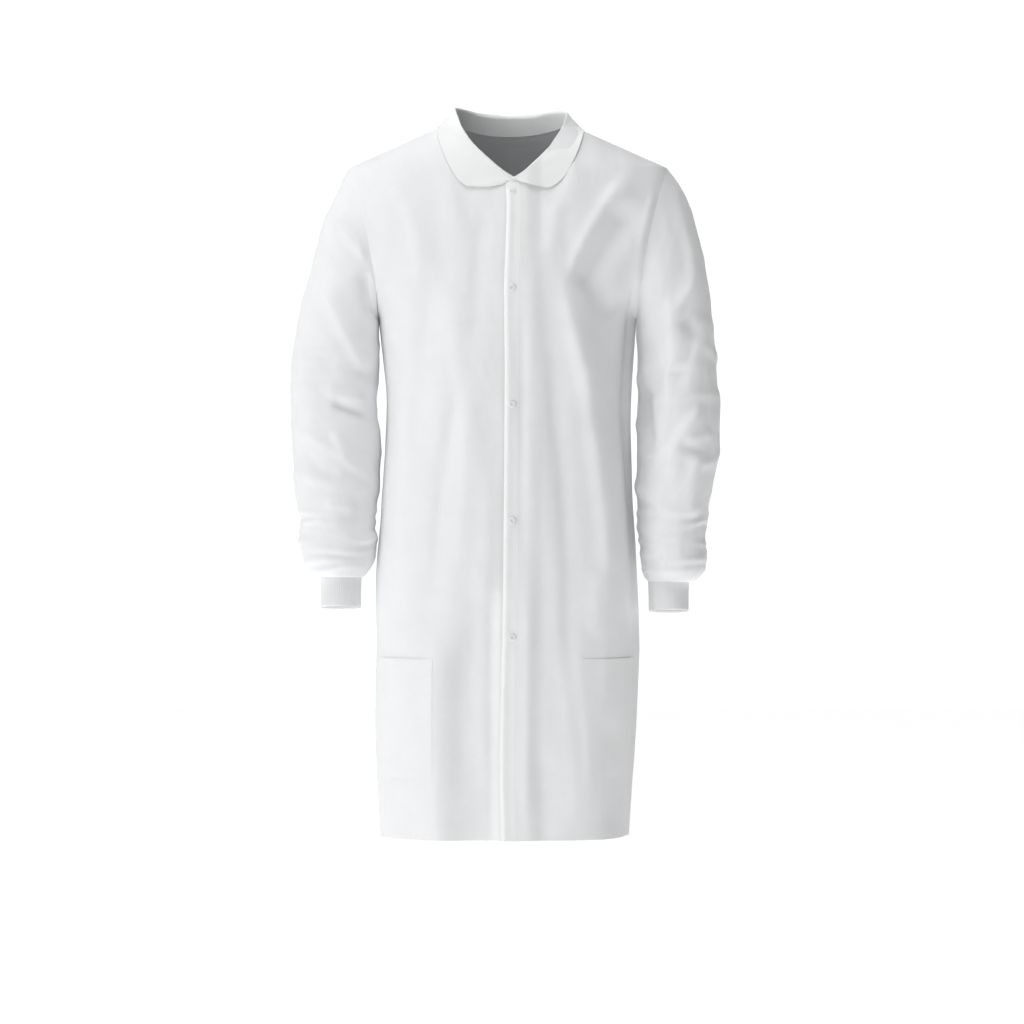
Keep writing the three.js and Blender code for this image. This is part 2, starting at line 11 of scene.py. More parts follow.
import bmesh
import bpy
import mathutils
import numpy as np
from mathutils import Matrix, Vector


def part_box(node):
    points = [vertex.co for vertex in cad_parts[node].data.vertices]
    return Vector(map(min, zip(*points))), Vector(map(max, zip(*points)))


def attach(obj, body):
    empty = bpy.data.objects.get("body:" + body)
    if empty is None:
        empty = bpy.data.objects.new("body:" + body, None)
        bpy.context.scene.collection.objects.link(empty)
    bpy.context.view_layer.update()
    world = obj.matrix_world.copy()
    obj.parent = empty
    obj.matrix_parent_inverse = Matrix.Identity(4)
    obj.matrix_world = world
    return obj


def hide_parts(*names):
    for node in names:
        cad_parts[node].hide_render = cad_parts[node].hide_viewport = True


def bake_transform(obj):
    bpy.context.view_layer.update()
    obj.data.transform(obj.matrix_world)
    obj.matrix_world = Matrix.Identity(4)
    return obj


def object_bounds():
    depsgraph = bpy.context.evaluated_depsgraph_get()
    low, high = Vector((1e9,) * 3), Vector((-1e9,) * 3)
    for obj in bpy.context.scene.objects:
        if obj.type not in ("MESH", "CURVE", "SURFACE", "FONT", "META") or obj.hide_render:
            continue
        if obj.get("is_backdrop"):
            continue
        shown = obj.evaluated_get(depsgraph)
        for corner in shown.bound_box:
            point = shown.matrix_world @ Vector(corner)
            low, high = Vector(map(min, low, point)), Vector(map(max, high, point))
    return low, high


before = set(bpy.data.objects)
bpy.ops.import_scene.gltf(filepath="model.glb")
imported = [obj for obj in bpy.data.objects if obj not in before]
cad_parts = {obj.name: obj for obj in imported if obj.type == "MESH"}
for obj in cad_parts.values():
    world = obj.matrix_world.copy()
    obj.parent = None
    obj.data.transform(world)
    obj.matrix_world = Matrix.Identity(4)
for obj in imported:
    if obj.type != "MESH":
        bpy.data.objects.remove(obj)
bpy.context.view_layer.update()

# %% [markdown]
# Lengths below are in millimetres, as on the pattern, and each finished mesh is scaled to metres.
# The coat hangs from the neck points at z = 0. Its front faces -Y and the wearer's left is +X.
# At each height its outline seen from above is a rounded oval, so one half width and one half depth
# describe the body, as in the CAD.

# %% Sizes of the coat
MM = 0.001
HEM_Z = -1019.0
TIP_X = 228.0
TIP_Z = -67.0
UNDERARM_X = 184.0
UNDERARM_Z = -282.0
ARMHOLE_HALF_DEPTH = 66.0
ARMHOLE_BOW = 8.0
NECK_HALF_WIDTH = 78.0
NECK_HALF_WIDTHS = {1: 84.0, -1: 78.0}
NECK_FRONT_DEPTH = 89.0
NECK_BACK_DEPTH = 59.0
FRONT_TOP_Z = -95.0
OVAL_POWER = 2.4
LAP_OFFSET = 5.0
CLOTH = 0.7


# %% Smooth helpers
def smooth(value, low=0.0, high=1.0):
    share = np.clip((value - low) / (high - low), 0.0, 1.0)
    return share * share * (3.0 - 2.0 * share)


def curve_through(points, count):
    """Points of a smooth curve through the given ones, at equal distances."""
    points = np.array(points, float)
    padded = np.vstack([2 * points[0] - points[1], points, 2 * points[-1] - points[-2]])
    fine = []
    for i in range(len(points) - 1):
        before, start, end, after = padded[i : i + 4]
        t = np.linspace(0, 1, 24, endpoint=False)[:, None]
        bend = 2 * before - 5 * start + 4 * end - after
        twist = 3 * start - before - 3 * end + after
        fine.append(start + 0.5 * t * ((end - before) + t * (bend + t * twist)))
    fine = np.vstack(fine + [points[-1:]])
    return evenly(fine, count)


def evenly(line, count):
    """The same line with count points at equal distances."""
    steps = np.linalg.norm(np.diff(line, axis=0), axis=1)
    length = np.concatenate([[0], np.cumsum(steps)])
    places = np.linspace(0, length[-1], count)
    return np.stack([np.interp(places, length, line[:, k]) for k in range(line.shape[1])], axis=1)


# %% [markdown]
# The side seams don't hang quite alike: the wearer's right side swings out a little more below the
# hip. Each side therefore gets its own half widths.

# %% The outline of the body
LEFT_WIDTHS = [
    (-1025, 172), (-1019, 173), (-955, 177), (-870, 183), (-786, 187), (-741, 188),
    (-655, 185), (-540, 178), (-440, 175.5), (-380, 177), (-320, 181), (-282, 184),
]
RIGHT_WIDTHS = [
    (-1025, 181), (-1019, 182), (-912, 187), (-827, 189.5), (-741, 187.5), (-655, 188),
    (-569, 182), (-483, 176.5), (-400, 173.5), (-340, 178), (-282, 184),
]


def widths_along(table):
    return curve_through([(float(z), float(w)) for z, w in table], 200)


LEFT_LINE = widths_along(LEFT_WIDTHS)
RIGHT_LINE = widths_along(RIGHT_WIDTHS)


def half_depth(z):
    upper = 30 + 94 * np.clip(z / UNDERARM_Z, 0, 1) ** 0.4
    lower = np.interp(-z, [-UNDERARM_Z, -HEM_Z], [124.0, 120.0])
    return np.where(z > UNDERARM_Z, upper, lower)


def armhole_share(z):
    return np.clip((TIP_Z - z) / (TIP_Z - UNDERARM_Z), 0, 1)


def half_width(z, x):
    """Half width at height z, on the side of x."""
    skirt = np.where(
        x > 0, np.interp(z, LEFT_LINE[:, 0], LEFT_LINE[:, 1]),
        np.interp(z, RIGHT_LINE[:, 0], RIGHT_LINE[:, 1]),
    )
    share = armhole_share(z)
    across = 2 * share - 1
    seam_x = TIP_X + (UNDERARM_X - TIP_X) * share - ARMHOLE_BOW * (1 - across**2)
    seam_y = ARMHOLE_HALF_DEPTH * np.sqrt(np.clip(1 - across**2, 0, 1))
    chest = seam_x / (1 - (seam_y / half_depth(z)) ** OVAL_POWER) ** (1 / OVAL_POWER)
    yoke = NECK_HALF_WIDTH + (TIP_X - NECK_HALF_WIDTH) * z / TIP_Z
    return np.where(z >= TIP_Z, yoke, np.where(z > UNDERARM_Z, chest, skirt))


def outside(p):
    """How far outside the body's surface a point is, as a share of its distance from the middle."""
    x, y, z = p[..., 0], p[..., 1], p[..., 2]
    wide = (np.abs(x) / half_width(z, x)) ** OVAL_POWER
    deep = (np.abs(y) / half_depth(z)) ** OVAL_POWER
    return (wide + deep) ** (1 / OVAL_POWER) - 1


def onto_body(p):
    """Moves points to the nearest place on the body's surface."""
    p = p.copy()
    step = np.eye(3) * 0.01
    for _ in range(14):
        value = outside(p)
        slope = np.stack([(outside(p + step[k]) - value) / 0.01 for k in range(3)], axis=-1)
        slope[..., 2] *= smooth(p[..., 2], -140.0, -70.0)
        size = np.maximum((slope**2).sum(-1), 1e-9)
        p -= np.clip(value / size, -6000, 6000)[..., None] * slope
    return p


def front_y(x, z):
    x = np.asarray(x, float)
    z = np.asarray(z, float)
    share = np.clip(1 - (np.abs(x) / half_width(z, x)) ** OVAL_POWER, 0, 1)
    return -half_depth(z) * share ** (1 / OVAL_POWER)


print("half depth at the chest", float(half_depth(np.array(-282.0))))

# %% [markdown]
# The neck seam is a curve on that surface: an oval seen from above, lower in front than behind.


# %% The neck seam
def oval(angle, wide, deep, power=OVAL_POWER):
    c, s = math.cos(angle), math.sin(angle)
    x = math.copysign(wide * abs(c) ** (2 / power), c)
    y = math.copysign(deep * abs(s) ** (2 / power), s)
    return x, y


def surface_z(x, y):
    """Height of the shoulders and upper chest above the point (x, y)."""
    high, low = 0.0, -300.0
    for _ in range(40):
        middle = (high + low) / 2
        inside = float(outside(np.array([x, y, middle]))) < 0
        if inside:
            low = middle
        else:
            high = middle
    return (high + low) / 2


def neck_point(angle, side):
    """A place on the neck seam, for one side of the coat; -90 degrees is the front."""
    deep = NECK_FRONT_DEPTH if angle < 0 else NECK_BACK_DEPTH
    x, y = oval(angle, NECK_HALF_WIDTHS[side], deep)
    return np.array([side * x, y, surface_z(x, y)])


print("front of the neck", neck_point(-math.pi / 2, 1).round(1))

# %% [markdown]
# ## Laying a piece of cloth
#
# A cut piece is a rectangle of cells bent into place. `create_grid` makes the cells, and a table of
# places, one for each crossing of the grid, says where each corner goes. A UV map in real metres
# goes with it, so that the cloth's pattern keeps its scale. `Solidify` gives the cloth its thickness.


# %% One function that lays a grid
def lay_cloth(name, places, size, outward, closed=False, shares=None):
    """A mesh object from a table of places [across, along, 3] in mm. size is its cut size in mm,
    and shares are the places of the columns across it, from 0 to 1, where they aren't even."""
    across, along = places.shape[0] - 1, places.shape[1] - 1
    bm = bmesh.new()
    uv_layer = bm.loops.layers.uv.new("cloth_metres")
    crossing = bm.verts.layers.int.new("crossing")
    bmesh.ops.create_grid(bm, x_segments=across, y_segments=along, size=0.5, calc_uvs=True)
    for face in bm.faces:
        for loop in face.loops:
            u, v = loop.vert.co.x + 0.5, loop.vert.co.y + 0.5
            if shares is not None:
                u = shares[round(u * across)]
            loop[uv_layer].uv = (u * size[0] * MM, v * size[1] * MM)
    for vert in bm.verts:
        i = round((vert.co.x + 0.5) * across)
        j = round((vert.co.y + 0.5) * along)
        vert[crossing] = i * (along + 1) + j
        vert.co = places[i, j] * MM
    bm.normal_update()
    facing = 0.0
    for face in bm.faces:
        facing += face.normal.dot(outward(face.calc_center_median())) * face.calc_area()
    if facing < 0:
        bmesh.ops.reverse_faces(bm, faces=bm.faces)
    if closed:
        bmesh.ops.remove_doubles(bm, verts=bm.verts, dist=1e-6)
    for face in bm.faces:
        face.smooth = True
    for edge in bm.edges:
        edge.smooth = not edge.is_boundary
    mesh = bpy.data.meshes.new(name)
    bm.to_mesh(mesh)
    bm.free()
    piece = bpy.data.objects.new(name, mesh)
    bpy.context.scene.collection.objects.link(piece)
    print(name, "cells", across, "x", along)
    return piece


def thicken(piece, thickness, offset=-1.0):
    wall = piece.modifiers.new("cloth thickness", "SOLIDIFY")
    wall.thickness = thickness * MM
    wall.offset = offset
    wall.use_even_offset = False
    return wall


def note_on(piece, name, table):
    """Stores a number for each crossing of the grid on the mesh, for its material to read."""
    mesh = piece.data
    index = np.zeros(len(mesh.vertices), np.int32)
    mesh.attributes["crossing"].data.foreach_get("value", index)
    layer = mesh.attributes.new(name, "FLOAT", "POINT")
    layer.data.foreach_set("value", table.ravel()[index].astype(np.float32))


def from_axis(point):
    """Outwards, on a body piece."""
    return point.__class__((point.x, point.y, 0.0))


# %% [markdown]
# A panel is bounded by four curves. A Coons patch fills them smoothly, and its inside is then moved
# onto the body's surface.


# %% Fill four edges
def fill_between(left, right, bottom, top, shares=None):
    """left and right run upwards, bottom and top run from left to right."""
    columns, rows = len(bottom), len(left)
    u = (np.linspace(0, 1, columns) if shares is None else shares)[:, None, None]
    v = np.linspace(0, 1, rows)[None, :, None]
    ruled = (1 - u) * left[None] + u * right[None] + (1 - v) * bottom[:, None] + v * top[:, None]
    corners = (1 - u) * (1 - v) * left[0] + u * (1 - v) * right[0]
    corners = corners + (1 - u) * v * left[-1] + u * v * right[-1]
    level_rows = np.linspace(UNDERARM_Z, TIP_Z, HIGH_ROWS + 1) - right[LOW_ROWS:, 2]
    inland = smooth(1 - u, 0.0, 0.2) * (smooth(u, 0.0, 0.2) if shares is None else u)
    ruled[:, LOW_ROWS:, 2] += inland[..., 0] * np.maximum(level_rows, 0)
    inner = onto_body(ruled - corners)
    inner[0], inner[-1], inner[:, 0], inner[:, -1] = left, right, bottom, top
    return inner


def normals_of(places):
    along_u = np.gradient(places, axis=0)
    along_v = np.gradient(places, axis=1)
    normal = np.cross(along_u, along_v)
    normal /= np.maximum(np.linalg.norm(normal, axis=-1, keepdims=True), 1e-9)
    middle = places * np.array([1.0, 1.0, 0.0])
    if (normal * middle).sum() < 0:
        normal = -normal
    return normal


# %% [markdown]
# ## Folds
#
# Cloth this light holds long soft folds. Each one is drawn as a stroke on the coat: a line of places (x, z),
# a width and a height, which fades to nothing at both ends.
# A negative height is a hollow. Between the strokes a gentle, seeded ripple keeps any part from
# being perfectly flat.


# %% Strokes and ripples
def stroke(x, z, points, width, height, skew=0.0, taper=0.25):
    """Height of one fold at places (x, z). skew moves the steep side across the line."""
    line = curve_through(points, 26)
    best = np.full(x.shape, 1e9)
    share = np.zeros(x.shape)
    side = np.zeros(x.shape)
    for i in range(len(line) - 1):
        (ax, az), (bx, bz) = line[i], line[i + 1]
        dx, dz = bx - ax, bz - az
        t = np.clip(((x - ax) * dx + (z - az) * dz) / (dx * dx + dz * dz), 0, 1)
        ox, oz = x - ax - t * dx, z - az - t * dz
        away = ox * ox + oz * oz
        closer = away < best
        best = np.where(closer, away, best)
        share = np.where(closer, (i + t) / (len(line) - 1), share)
        side = np.where(closer, np.sign(ox * dz - oz * dx), side)
    reach = np.sqrt(best) / width
    reach = reach * np.where(side > 0, 1 + skew, 1 / (1 + skew))
    ends = smooth(share, 0, taper) * smooth(1 - share, 0, taper) if taper > 0 else 1.0
    return height * np.exp(-(reach**2)) * ends


def ripple(u, v, seed, length_u, length_v, height, waves=14):
    """A soft uneven surface: a sum of seeded waves, about so long in each direction."""
    rng = np.random.default_rng(seed)
    total = np.zeros(u.shape)
    for _ in range(waves):
        fu = rng.normal(0, 1) / length_u
        fv = rng.normal(0, 1) / length_v
        total += np.sin(2 * np.pi * (u * fu + v * fv) + rng.uniform(0, 2 * np.pi))
    return height * total / math.sqrt(waves)

# %% [markdown]
# ## The materials
#
# Colours are written as sRGB hex values, as on a colour chart, and one function turns them to the
# linear values that Blender works with. A second small function adds a node, its settings and links,
# and a third ends the simpler materials, which take their tones and their relief from one pattern.


# %% Colour and node helpers
def colour(code):
    parts = [int(code[i : i + 2], 16) / 255 for i in (1, 3, 5)]
    linear = [c / 12.92 if c <= 0.04045 else ((c + 0.055) / 1.055) ** 2.4 for c in parts]
    return (*linear, 1.0)


def add_node(tree, kind, inputs=None, links=None, **settings):
    """One node. inputs are values and links are (socket of this node, output of another)."""
    node = tree.nodes.new("ShaderNode" + kind)
    for key, value in settings.items():
        setattr(node, key, value)
    for key, value in (inputs or {}).items():
        node.inputs[key].default_value = value
    for key, output in (links or {}).items():
        tree.links.new(output, node.inputs[key])
    return node


def new_material(name):
    material = bpy.data.materials.new(name)
    material.use_nodes = True
    tree = material.node_tree
    tree.nodes.clear()
    return material, tree


def finish_surface(tree, tones, share, height, bump, finish):
    """Two tones mixed by share, relief from height, and the finish's values on the shader."""
    relief = add_node(tree, "Bump", bump, {"Height": height})
    tone = add_node(
        tree, "Mix", {"A": colour(tones[0]), "B": colour(tones[1])}, {"Factor": share},
        data_type="RGBA",
    )
    shader = add_node(
        tree, "BsdfPrincipled", finish,
        {"Base Color": tone.outputs["Result"], "Normal": relief.outputs["Normal"]},
    )
    add_node(tree, "OutputMaterial", links={"Surface": shader.outputs["BSDF"]})


# %% [markdown]
# The coat is spunbonded polypropylene, a nonwoven: fine white fibres laid at random and welded at
# small points. It is matte with a faint sheen along the folds. The weld points of the real cloth are
# about 1 mm apart, too fine to show, so they are drawn 3 mm apart. Where the cloth is double, at the
# front bands, hem, collar and pockets, less light passes and it looks whiter and smoother.


# %% Spunbonded nonwoven cloth
WELD_PITCH = 0.003


def make_nonwoven(name, single="#EFF0F1", double="#F4F5F5"):
    material, tree = new_material(name)
    uv = add_node(tree, "UVMap", uv_map="cloth_metres").outputs["UV"]
    cloud = add_node(
        tree, "TexNoise", {"Scale": 28.0, "Detail": 4.0, "Roughness": 0.6}, {"Vector": uv}
    )
    squeeze = add_node(
        tree, "Mapping", {"Scale": (1.0, 0.35, 1.0), "Rotation": (0, 0, 0.5)}, {"Vector": uv}
    )
    fibre = add_node(
        tree, "TexNoise", {"Scale": 420.0, "Detail": 3.0, "Roughness": 0.65, "Distortion": 1.4},
        {"Vector": squeeze.outputs["Vector"]},
    )
    turn = add_node(tree, "Mapping", {"Rotation": (0, 0, math.radians(45))}, {"Vector": uv})
    welds = add_node(
        tree, "TexVoronoi", {"Scale": 1 / WELD_PITCH, "Randomness": 0.12},
        {"Vector": turn.outputs["Vector"]}, voronoi_dimensions="2D",
    )
    weld = add_node(
        tree, "MapRange", {"From Min": 0.16, "From Max": 0.34, "To Min": 0.0, "To Max": 1.0},
        {"Value": welds.outputs["Distance"]}, interpolation_type="SMOOTHSTEP",
    )
    layers = add_node(tree, "Attribute", attribute_name="double_cloth").outputs["Fac"]
    step = add_node(
        tree, "MapRange", {"From Min": 0.35, "From Max": 0.65}, {"Value": layers},
        interpolation_type="SMOOTHSTEP",
    )
    base = add_node(
        tree, "Mix", {"A": colour(single), "B": colour(double)}, {"Factor": step.outputs["Result"]},
        data_type="RGBA",
    )
    shade = add_node(
        tree, "MapRange", {"From Min": 0.3, "From Max": 0.7, "To Min": 0.972, "To Max": 1.0},
        {"Value": cloud.outputs["Fac"]},
    )
    thin = add_node(
        tree, "MapRange", {"From Min": 0.35, "From Max": 0.65, "To Min": 0.985, "To Max": 1.0},
        {"Value": fibre.outputs["Fac"]},
    )
    both = add_node(
        tree, "Math", links={0: shade.outputs["Result"], 1: thin.outputs["Result"]},
        operation="MULTIPLY",
    )
    tone = add_node(
        tree, "VectorMath", links={0: base.outputs["Result"], "Scale": both.outputs["Value"]},
        operation="SCALE",
    )
    seam = add_node(tree, "Attribute", attribute_name="stitch_mm").outputs["Fac"]
    groove = add_node(
        tree, "MapRange", {"From Min": 0.0, "From Max": 1.6, "To Min": 0.0, "To Max": 1.0},
        {"Value": seam}, interpolation_type="SMOOTHSTEP",
    )
    surface = add_node(
        tree, "Math", {1: 0.5}, {0: fibre.outputs["Fac"], 2: weld.outputs["Result"]},
        operation="MULTIPLY_ADD",
    )
    fine_bump = add_node(
        tree, "Bump", {"Strength": 0.22, "Distance": 0.00025}, {"Height": surface.outputs["Value"]},
    )
    layer_bump = add_node(
        tree, "Bump", {"Strength": 0.35, "Distance": 0.0005},
        {"Height": step.outputs["Result"], "Normal": fine_bump.outputs["Normal"]},
    )
    seam_bump = add_node(
        tree, "Bump", {"Strength": 0.22, "Distance": 0.0005},
        {"Height": groove.outputs["Result"], "Normal": layer_bump.outputs["Normal"]},
    )
    shader = add_node(
        tree, "BsdfPrincipled",
        {"Roughness": 0.82, "IOR": 1.49, "Sheen Weight": 0.12, "Sheen Roughness": 0.5},
        {"Base Color": tone.outputs["Vector"], "Normal": seam_bump.outputs["Normal"]},
    )
    add_node(tree, "OutputMaterial", links={"Surface": shader.outputs["BSDF"]})
    return material


nonwoven = make_nonwoven("spunbonded_nonwoven")
print("cloth material", nonwoven.name)

# %% [markdown]
# The cuffs are a polyester rib knit. Fine columns of loops stand up in pairs; the columns are real
# ridges in the mesh, and the loops along them are a wave in the bump.


# %% Rib knit
LOOP_PITCH = 0.0016


def make_rib_knit(name):
    material, tree = new_material(name)
    uv = add_node(tree, "UVMap", uv_map="cloth_metres").outputs["UV"]
    loops = add_node(
        tree, "TexWave", {"Scale": 0.5 / LOOP_PITCH, "Distortion": 2.0, "Detail": 1.0},
        {"Vector": uv}, bands_direction="Y",
    )
    fuzz = add_node(tree, "TexNoise", {"Scale": 900.0, "Detail": 3.0}, {"Vector": uv})
    height = add_node(
        tree, "Math", {1: 0.6}, {0: fuzz.outputs["Fac"], 2: loops.outputs["Fac"]},
        operation="MULTIPLY_ADD",
    )
    bump = {"Strength": 0.35, "Distance": 0.0003}
    finish = {"Roughness": 0.9, "Sheen Weight": 0.25, "Sheen Roughness": 0.4}
    tones = ("#E6E7E9", "#F5F6F6")
    finish_surface(tree, tones, fuzz.outputs["Fac"], height.outputs["Value"], bump, finish)
    return material


rib_knit = make_rib_knit("polyester_rib_knit")

# %% [markdown]
# The snaps are moulded in white acetal: dense, smooth and a little glossy, with a faint unevenness
# from the mould. The neck tape is a narrow woven twill in the same white.


# %% Snap plastic and woven tape
TWILL_PITCH = 0.0009


def make_snap_plastic(name):
    material, tree = new_material(name)
    place = add_node(tree, "TexCoord").outputs["Object"]
    orange_peel = add_node(tree, "TexNoise", {"Scale": 900.0, "Detail": 2.0}, {"Vector": place})
    bump = {"Strength": 0.1, "Distance": 0.0001}
    finish = {"Roughness": 0.28, "IOR": 1.48}
    grain = orange_peel.outputs["Fac"]
    finish_surface(tree, ("#DFE0E2", "#E6E7E8"), grain, grain, bump, finish)
    return material


def make_twill_tape(name):
    material, tree = new_material(name)
    uv = add_node(tree, "UVMap", uv_map="cloth_metres").outputs["UV"]
    turn = add_node(tree, "Mapping", {"Rotation": (0, 0, math.radians(35))}, {"Vector": uv})
    twill = add_node(
        tree, "TexWave", {"Scale": 0.5 / TWILL_PITCH, "Distortion": 0.4},
        {"Vector": turn.outputs["Vector"]}, bands_direction="X",
    )
    bump = {"Strength": 0.3, "Distance": 0.0002}
    finish = {"Roughness": 0.75, "Sheen Weight": 0.15}
    ridge = twill.outputs["Fac"]
    finish_surface(tree, ("#E2E3E5", "#F2F3F3"), ridge, ridge, bump, finish)
    return material


snap_plastic = make_snap_plastic("moulded_acetal")
twill_tape = make_twill_tape("woven_twill_tape")
print("materials", len(bpy.data.materials))

# %% [markdown]
# ## Edges of the body panels
#
# The back and the fronts share their side seams, armholes and shoulder seams. Each shared edge is
# made once, so that the pieces meet exactly. Below the underarm the rows of cells are level.

# %% Shared edges
LOW_ROWS = 225
HIGH_ROWS = 85
SIDE_Z = np.linspace(HEM_Z, UNDERARM_Z, LOW_ROWS + 1)


def armhole(side, front):
    """The armhole seam from the underarm up to the shoulder tip."""
    turn = np.linspace(0, math.pi, HIGH_ROWS + 1)[1:]
    middle_z = (TIP_Z + UNDERARM_Z) / 2
    z = middle_z - (TIP_Z - UNDERARM_Z) / 2 * np.cos(turn)
    x = TIP_X + (UNDERARM_X - TIP_X) * armhole_share(z) - ARMHOLE_BOW * np.sin(turn) ** 2
    y = ARMHOLE_HALF_DEPTH * np.sin(turn)
    return np.stack([side * x, -y if front else y, z], axis=1)


def side_edge(side, front):
    seam_x = side * half_width(SIDE_Z, np.full(SIDE_Z.shape, float(side)))
    seam = np.stack([seam_x, np.zeros(SIDE_Z.shape), SIDE_Z], axis=1)
    return np.vstack([seam, armhole(side, front)])


def shoulder_edge(side, count):
    wide = NECK_HALF_WIDTHS[side]
    low = TIP_Z * (wide - NECK_HALF_WIDTH) / (TIP_X - NECK_HALF_WIDTH)
    neck = np.array([side * wide, 0, low])
    tip = np.array([side * TIP_X, 0, TIP_Z])
    return np.linspace(neck, tip, count)


def hem_arc(start_x, side, count):
    """The hem from x = start_x in front, round to the side seam."""
    wide = float(half_width(np.array(HEM_Z), np.array(float(side))))
    deep = float(half_depth(np.array(HEM_Z)))
    first = math.acos(min(1.0, abs(start_x) / wide) ** (OVAL_POWER / 2))
    first = -first if start_x * side > 0 else first - math.pi
    turns = np.linspace(first, 0, 400)
    line = np.array([(*oval(turn, wide, deep), HEM_Z) for turn in turns])
    line[:, 0] *= side
    return evenly(line, count)


print("rows", LOW_ROWS + HIGH_ROWS)

# %% [markdown]
# ## The two fronts
#
# Each front is a plain panel with a band folded double along its edge. The wearer's left front lies
# 5 mm before the right one at the snaps, because the snaps stand between them, and eases back to
# the common surface over a hand's breadth. The edge isn't ruler straight: it wanders a little, as
# cloth does between its fastenings.

# %% Edge lines of the fronts
LEFT_EDGE = [
    (-3.5, -95), (-2.0, -126), (-3.6, -187), (-5.6, -245), (-4.8, -339), (-5.2, -460),
    (-6.2, -570), (-7.2, -684), (-10.4, -834), (-11.6, -915), (-9.5, -1019),
]
RIGHT_EDGE = [(19, -95), (19, -400), (18, -700), (16, -1019)]
BAND = 21.0
BAND_WHITENESS = 0.7
HEM_WHITENESS = 0.4
HEM_FOLD = 18.5
HEM_STITCH = 16.0


def front_edge(table):
    line = curve_through([(float(x), float(z)) for x, z in table], 400)[::-1]
    return lambda z: np.interp(z, line[:, 1], line[:, 0])


left_edge_x = front_edge(LEFT_EDGE)
right_edge_x = front_edge(RIGHT_EDGE)


def centre_line(edge_x, side):
    """The front's free edge up to its top corner, then the neck seam up to the shoulder."""
    x = edge_x(SIDE_Z)
    low = np.stack([x, front_y(x, SIDE_Z), SIDE_Z], axis=1)
    z = np.linspace(UNDERARM_Z, FRONT_TOP_Z, 60)[1:]
    x = edge_x(z)
    edge = np.stack([x, front_y(x, z), z], axis=1)
    turns = np.linspace(-math.radians(86), 0, 60)
    neck = np.array([neck_point(turn, side) for turn in turns])
    high = evenly(np.vstack([low[-1:], edge, neck]), HIGH_ROWS + 1)[1:]
    return np.vstack([low, high])


def at_shares(line, shares):
    even = np.linspace(0, 1, len(line))
    return np.stack([np.interp(shares, even, line[:, k]) for k in range(3)], axis=1)


def front_panel(side, edge_x, shares):
    """The columns stand closer together near the free edge, where the band rolls."""
    left = centre_line(edge_x, side)
    right = side_edge(side, True)
    bottom = at_shares(hem_arc(float(edge_x(HEM_Z)), side, 400), shares)
    bottom[0] = left[0]
    top = at_shares(shoulder_edge(side, 400), shares)
    return fill_between(left, right, bottom, top, shares)


# %% [markdown]
# The folds of the two fronts. On the wearer's left the cloth falls from the shoulder point in one
# long fold over the chest and down to the hem, with a hollow beside the band. On the wearer's right
# the panel is smoother, with a pressed crease that runs down past the pocket's inner edge.

# %% Folds of the fronts
LEFT_FRONT_FOLDS = [
    # points (x, z) in mm, width, height, skew
    ([(71, -215), (83, -267), (96, -327), (106, -369), (123, -490), (136, -623), (127, -714)], 15, 4.2, 0.4),
    ([(181, -78), (154, -102), (122, -152), (98, -200), (80, -250)], 15, 4.5, 0.5),
    ([(214, -95), (202, -133), (190, -197), (180, -262)], 10, 3.6, 0.3),
    ([(176, -110), (150, -165), (112, -225), (100, -262)], 24, -9.0, 0.0),
    ([(160, -285), (134, -258), (110, -262)], 20, -3.4, 0.0),
    ([(24, -250), (20, -330), (20, -450), (20, -560), (22, -640)], 9, -1.6, 0.0),
    ([(42, -150), (40, -250), (44, -380), (46, -520), (46, -650)], 14, 1.7, 0.0),
    ([(58, -260), (62, -330), (67, -425), (74, -480), (82, -619), (84, -812)], 13, -2.6, 0.3),
    ([(150, -420), (158, -520), (160, -640), (152, -760)], 20, 2.0, 0.0),
    ([(124, -630), (124, -740)], 12, 2.2, 0.2),
    ([(98, -700), (101, -790), (112, -880), (118, -1000)], 14, 3.0, 0.3),
    ([(72, -690), (78, -780), (92, -900), (96, -1019)], 14, 2.2, 0.0),
    ([(50, -880), (54, -960), (56, -1040)], 18, -3.0, 0.0),
    ([(30, -640), (28, -760), (26, -900), (28, -1030)], 10, 1.8, 0.0),
    ([(150, -830), (148, -920), (142, -1030)], 20, -2.6, 0.0),
    ([(150, -330), (120, -352), (96, -396)], 14, 2.0, 0.4),
    ([(158, -385), (130, -410), (112, -450)], 14, -1.8, 0.0),
    ([(60, -120), (66, -150), (62, -200)], 12, 1.6, 0.0),
    ([(100, -60), (86, -100), (66, -150)], 15, 2.0, 0.3),
]
RIGHT_FRONT_FOLDS = [
    ([(-28, -110), (-38, -177), (-44, -250), (-46, -340)], 14, -2.0, 0.2),
    ([(-66, -190), (-74, -263), (-70, -340), (-58, -460), (-64, -598), (-88, -705)], 16, 2.4, 0.3),
    ([(-60, -340), (-68, -380), (-86, -470), (-100, -600), (-104, -700)], 12, -2.4, 0.2),
    ([(-112, -200), (-110, -255), (-124, -383), (-134, -520)], 15, -2.0, 0.0),
    ([(-34, -660), (-44, -700), (-80, -735), (-104, -762)], 16, -2.4, 0.0),
    ([(-140, -330), (-146, -460), (-150, -600), (-146, -720)], 17, 2.0, 0.0),
    ([(-178, -60), (-150, -110), (-128, -180), (-118, -250)], 16, 2.2, 0.4),
    ([(-176, -300), (-150, -330), (-128, -390)], 14, 2.2, 0.3),
    ([(-30, -430), (-30, -560), (-34, -680), (-34, -850), (-30, -1030)], 13, 1.6, 0.0),
    ([(-60, -720), (-66, -840), (-70, -960), (-68, -1040)], 16, -2.4, 0.0),
    ([(-84, -60), (-78, -110), (-66, -180)], 14, 1.6, 0.0),
    ([(-140, -960), (-138, -1040)], 18, -1.8, 0.0),
]
LEFT_FOLDS_DEPTH = 1.35
RIGHT_FOLDS_DEPTH = 1.3
CHEST_FOLD = [
    (62, -180), (71, -215), (83, -267), (96, -327), (106, -369), (123, -490), (136, -623),
    (134, -760), (128, -1030),
]
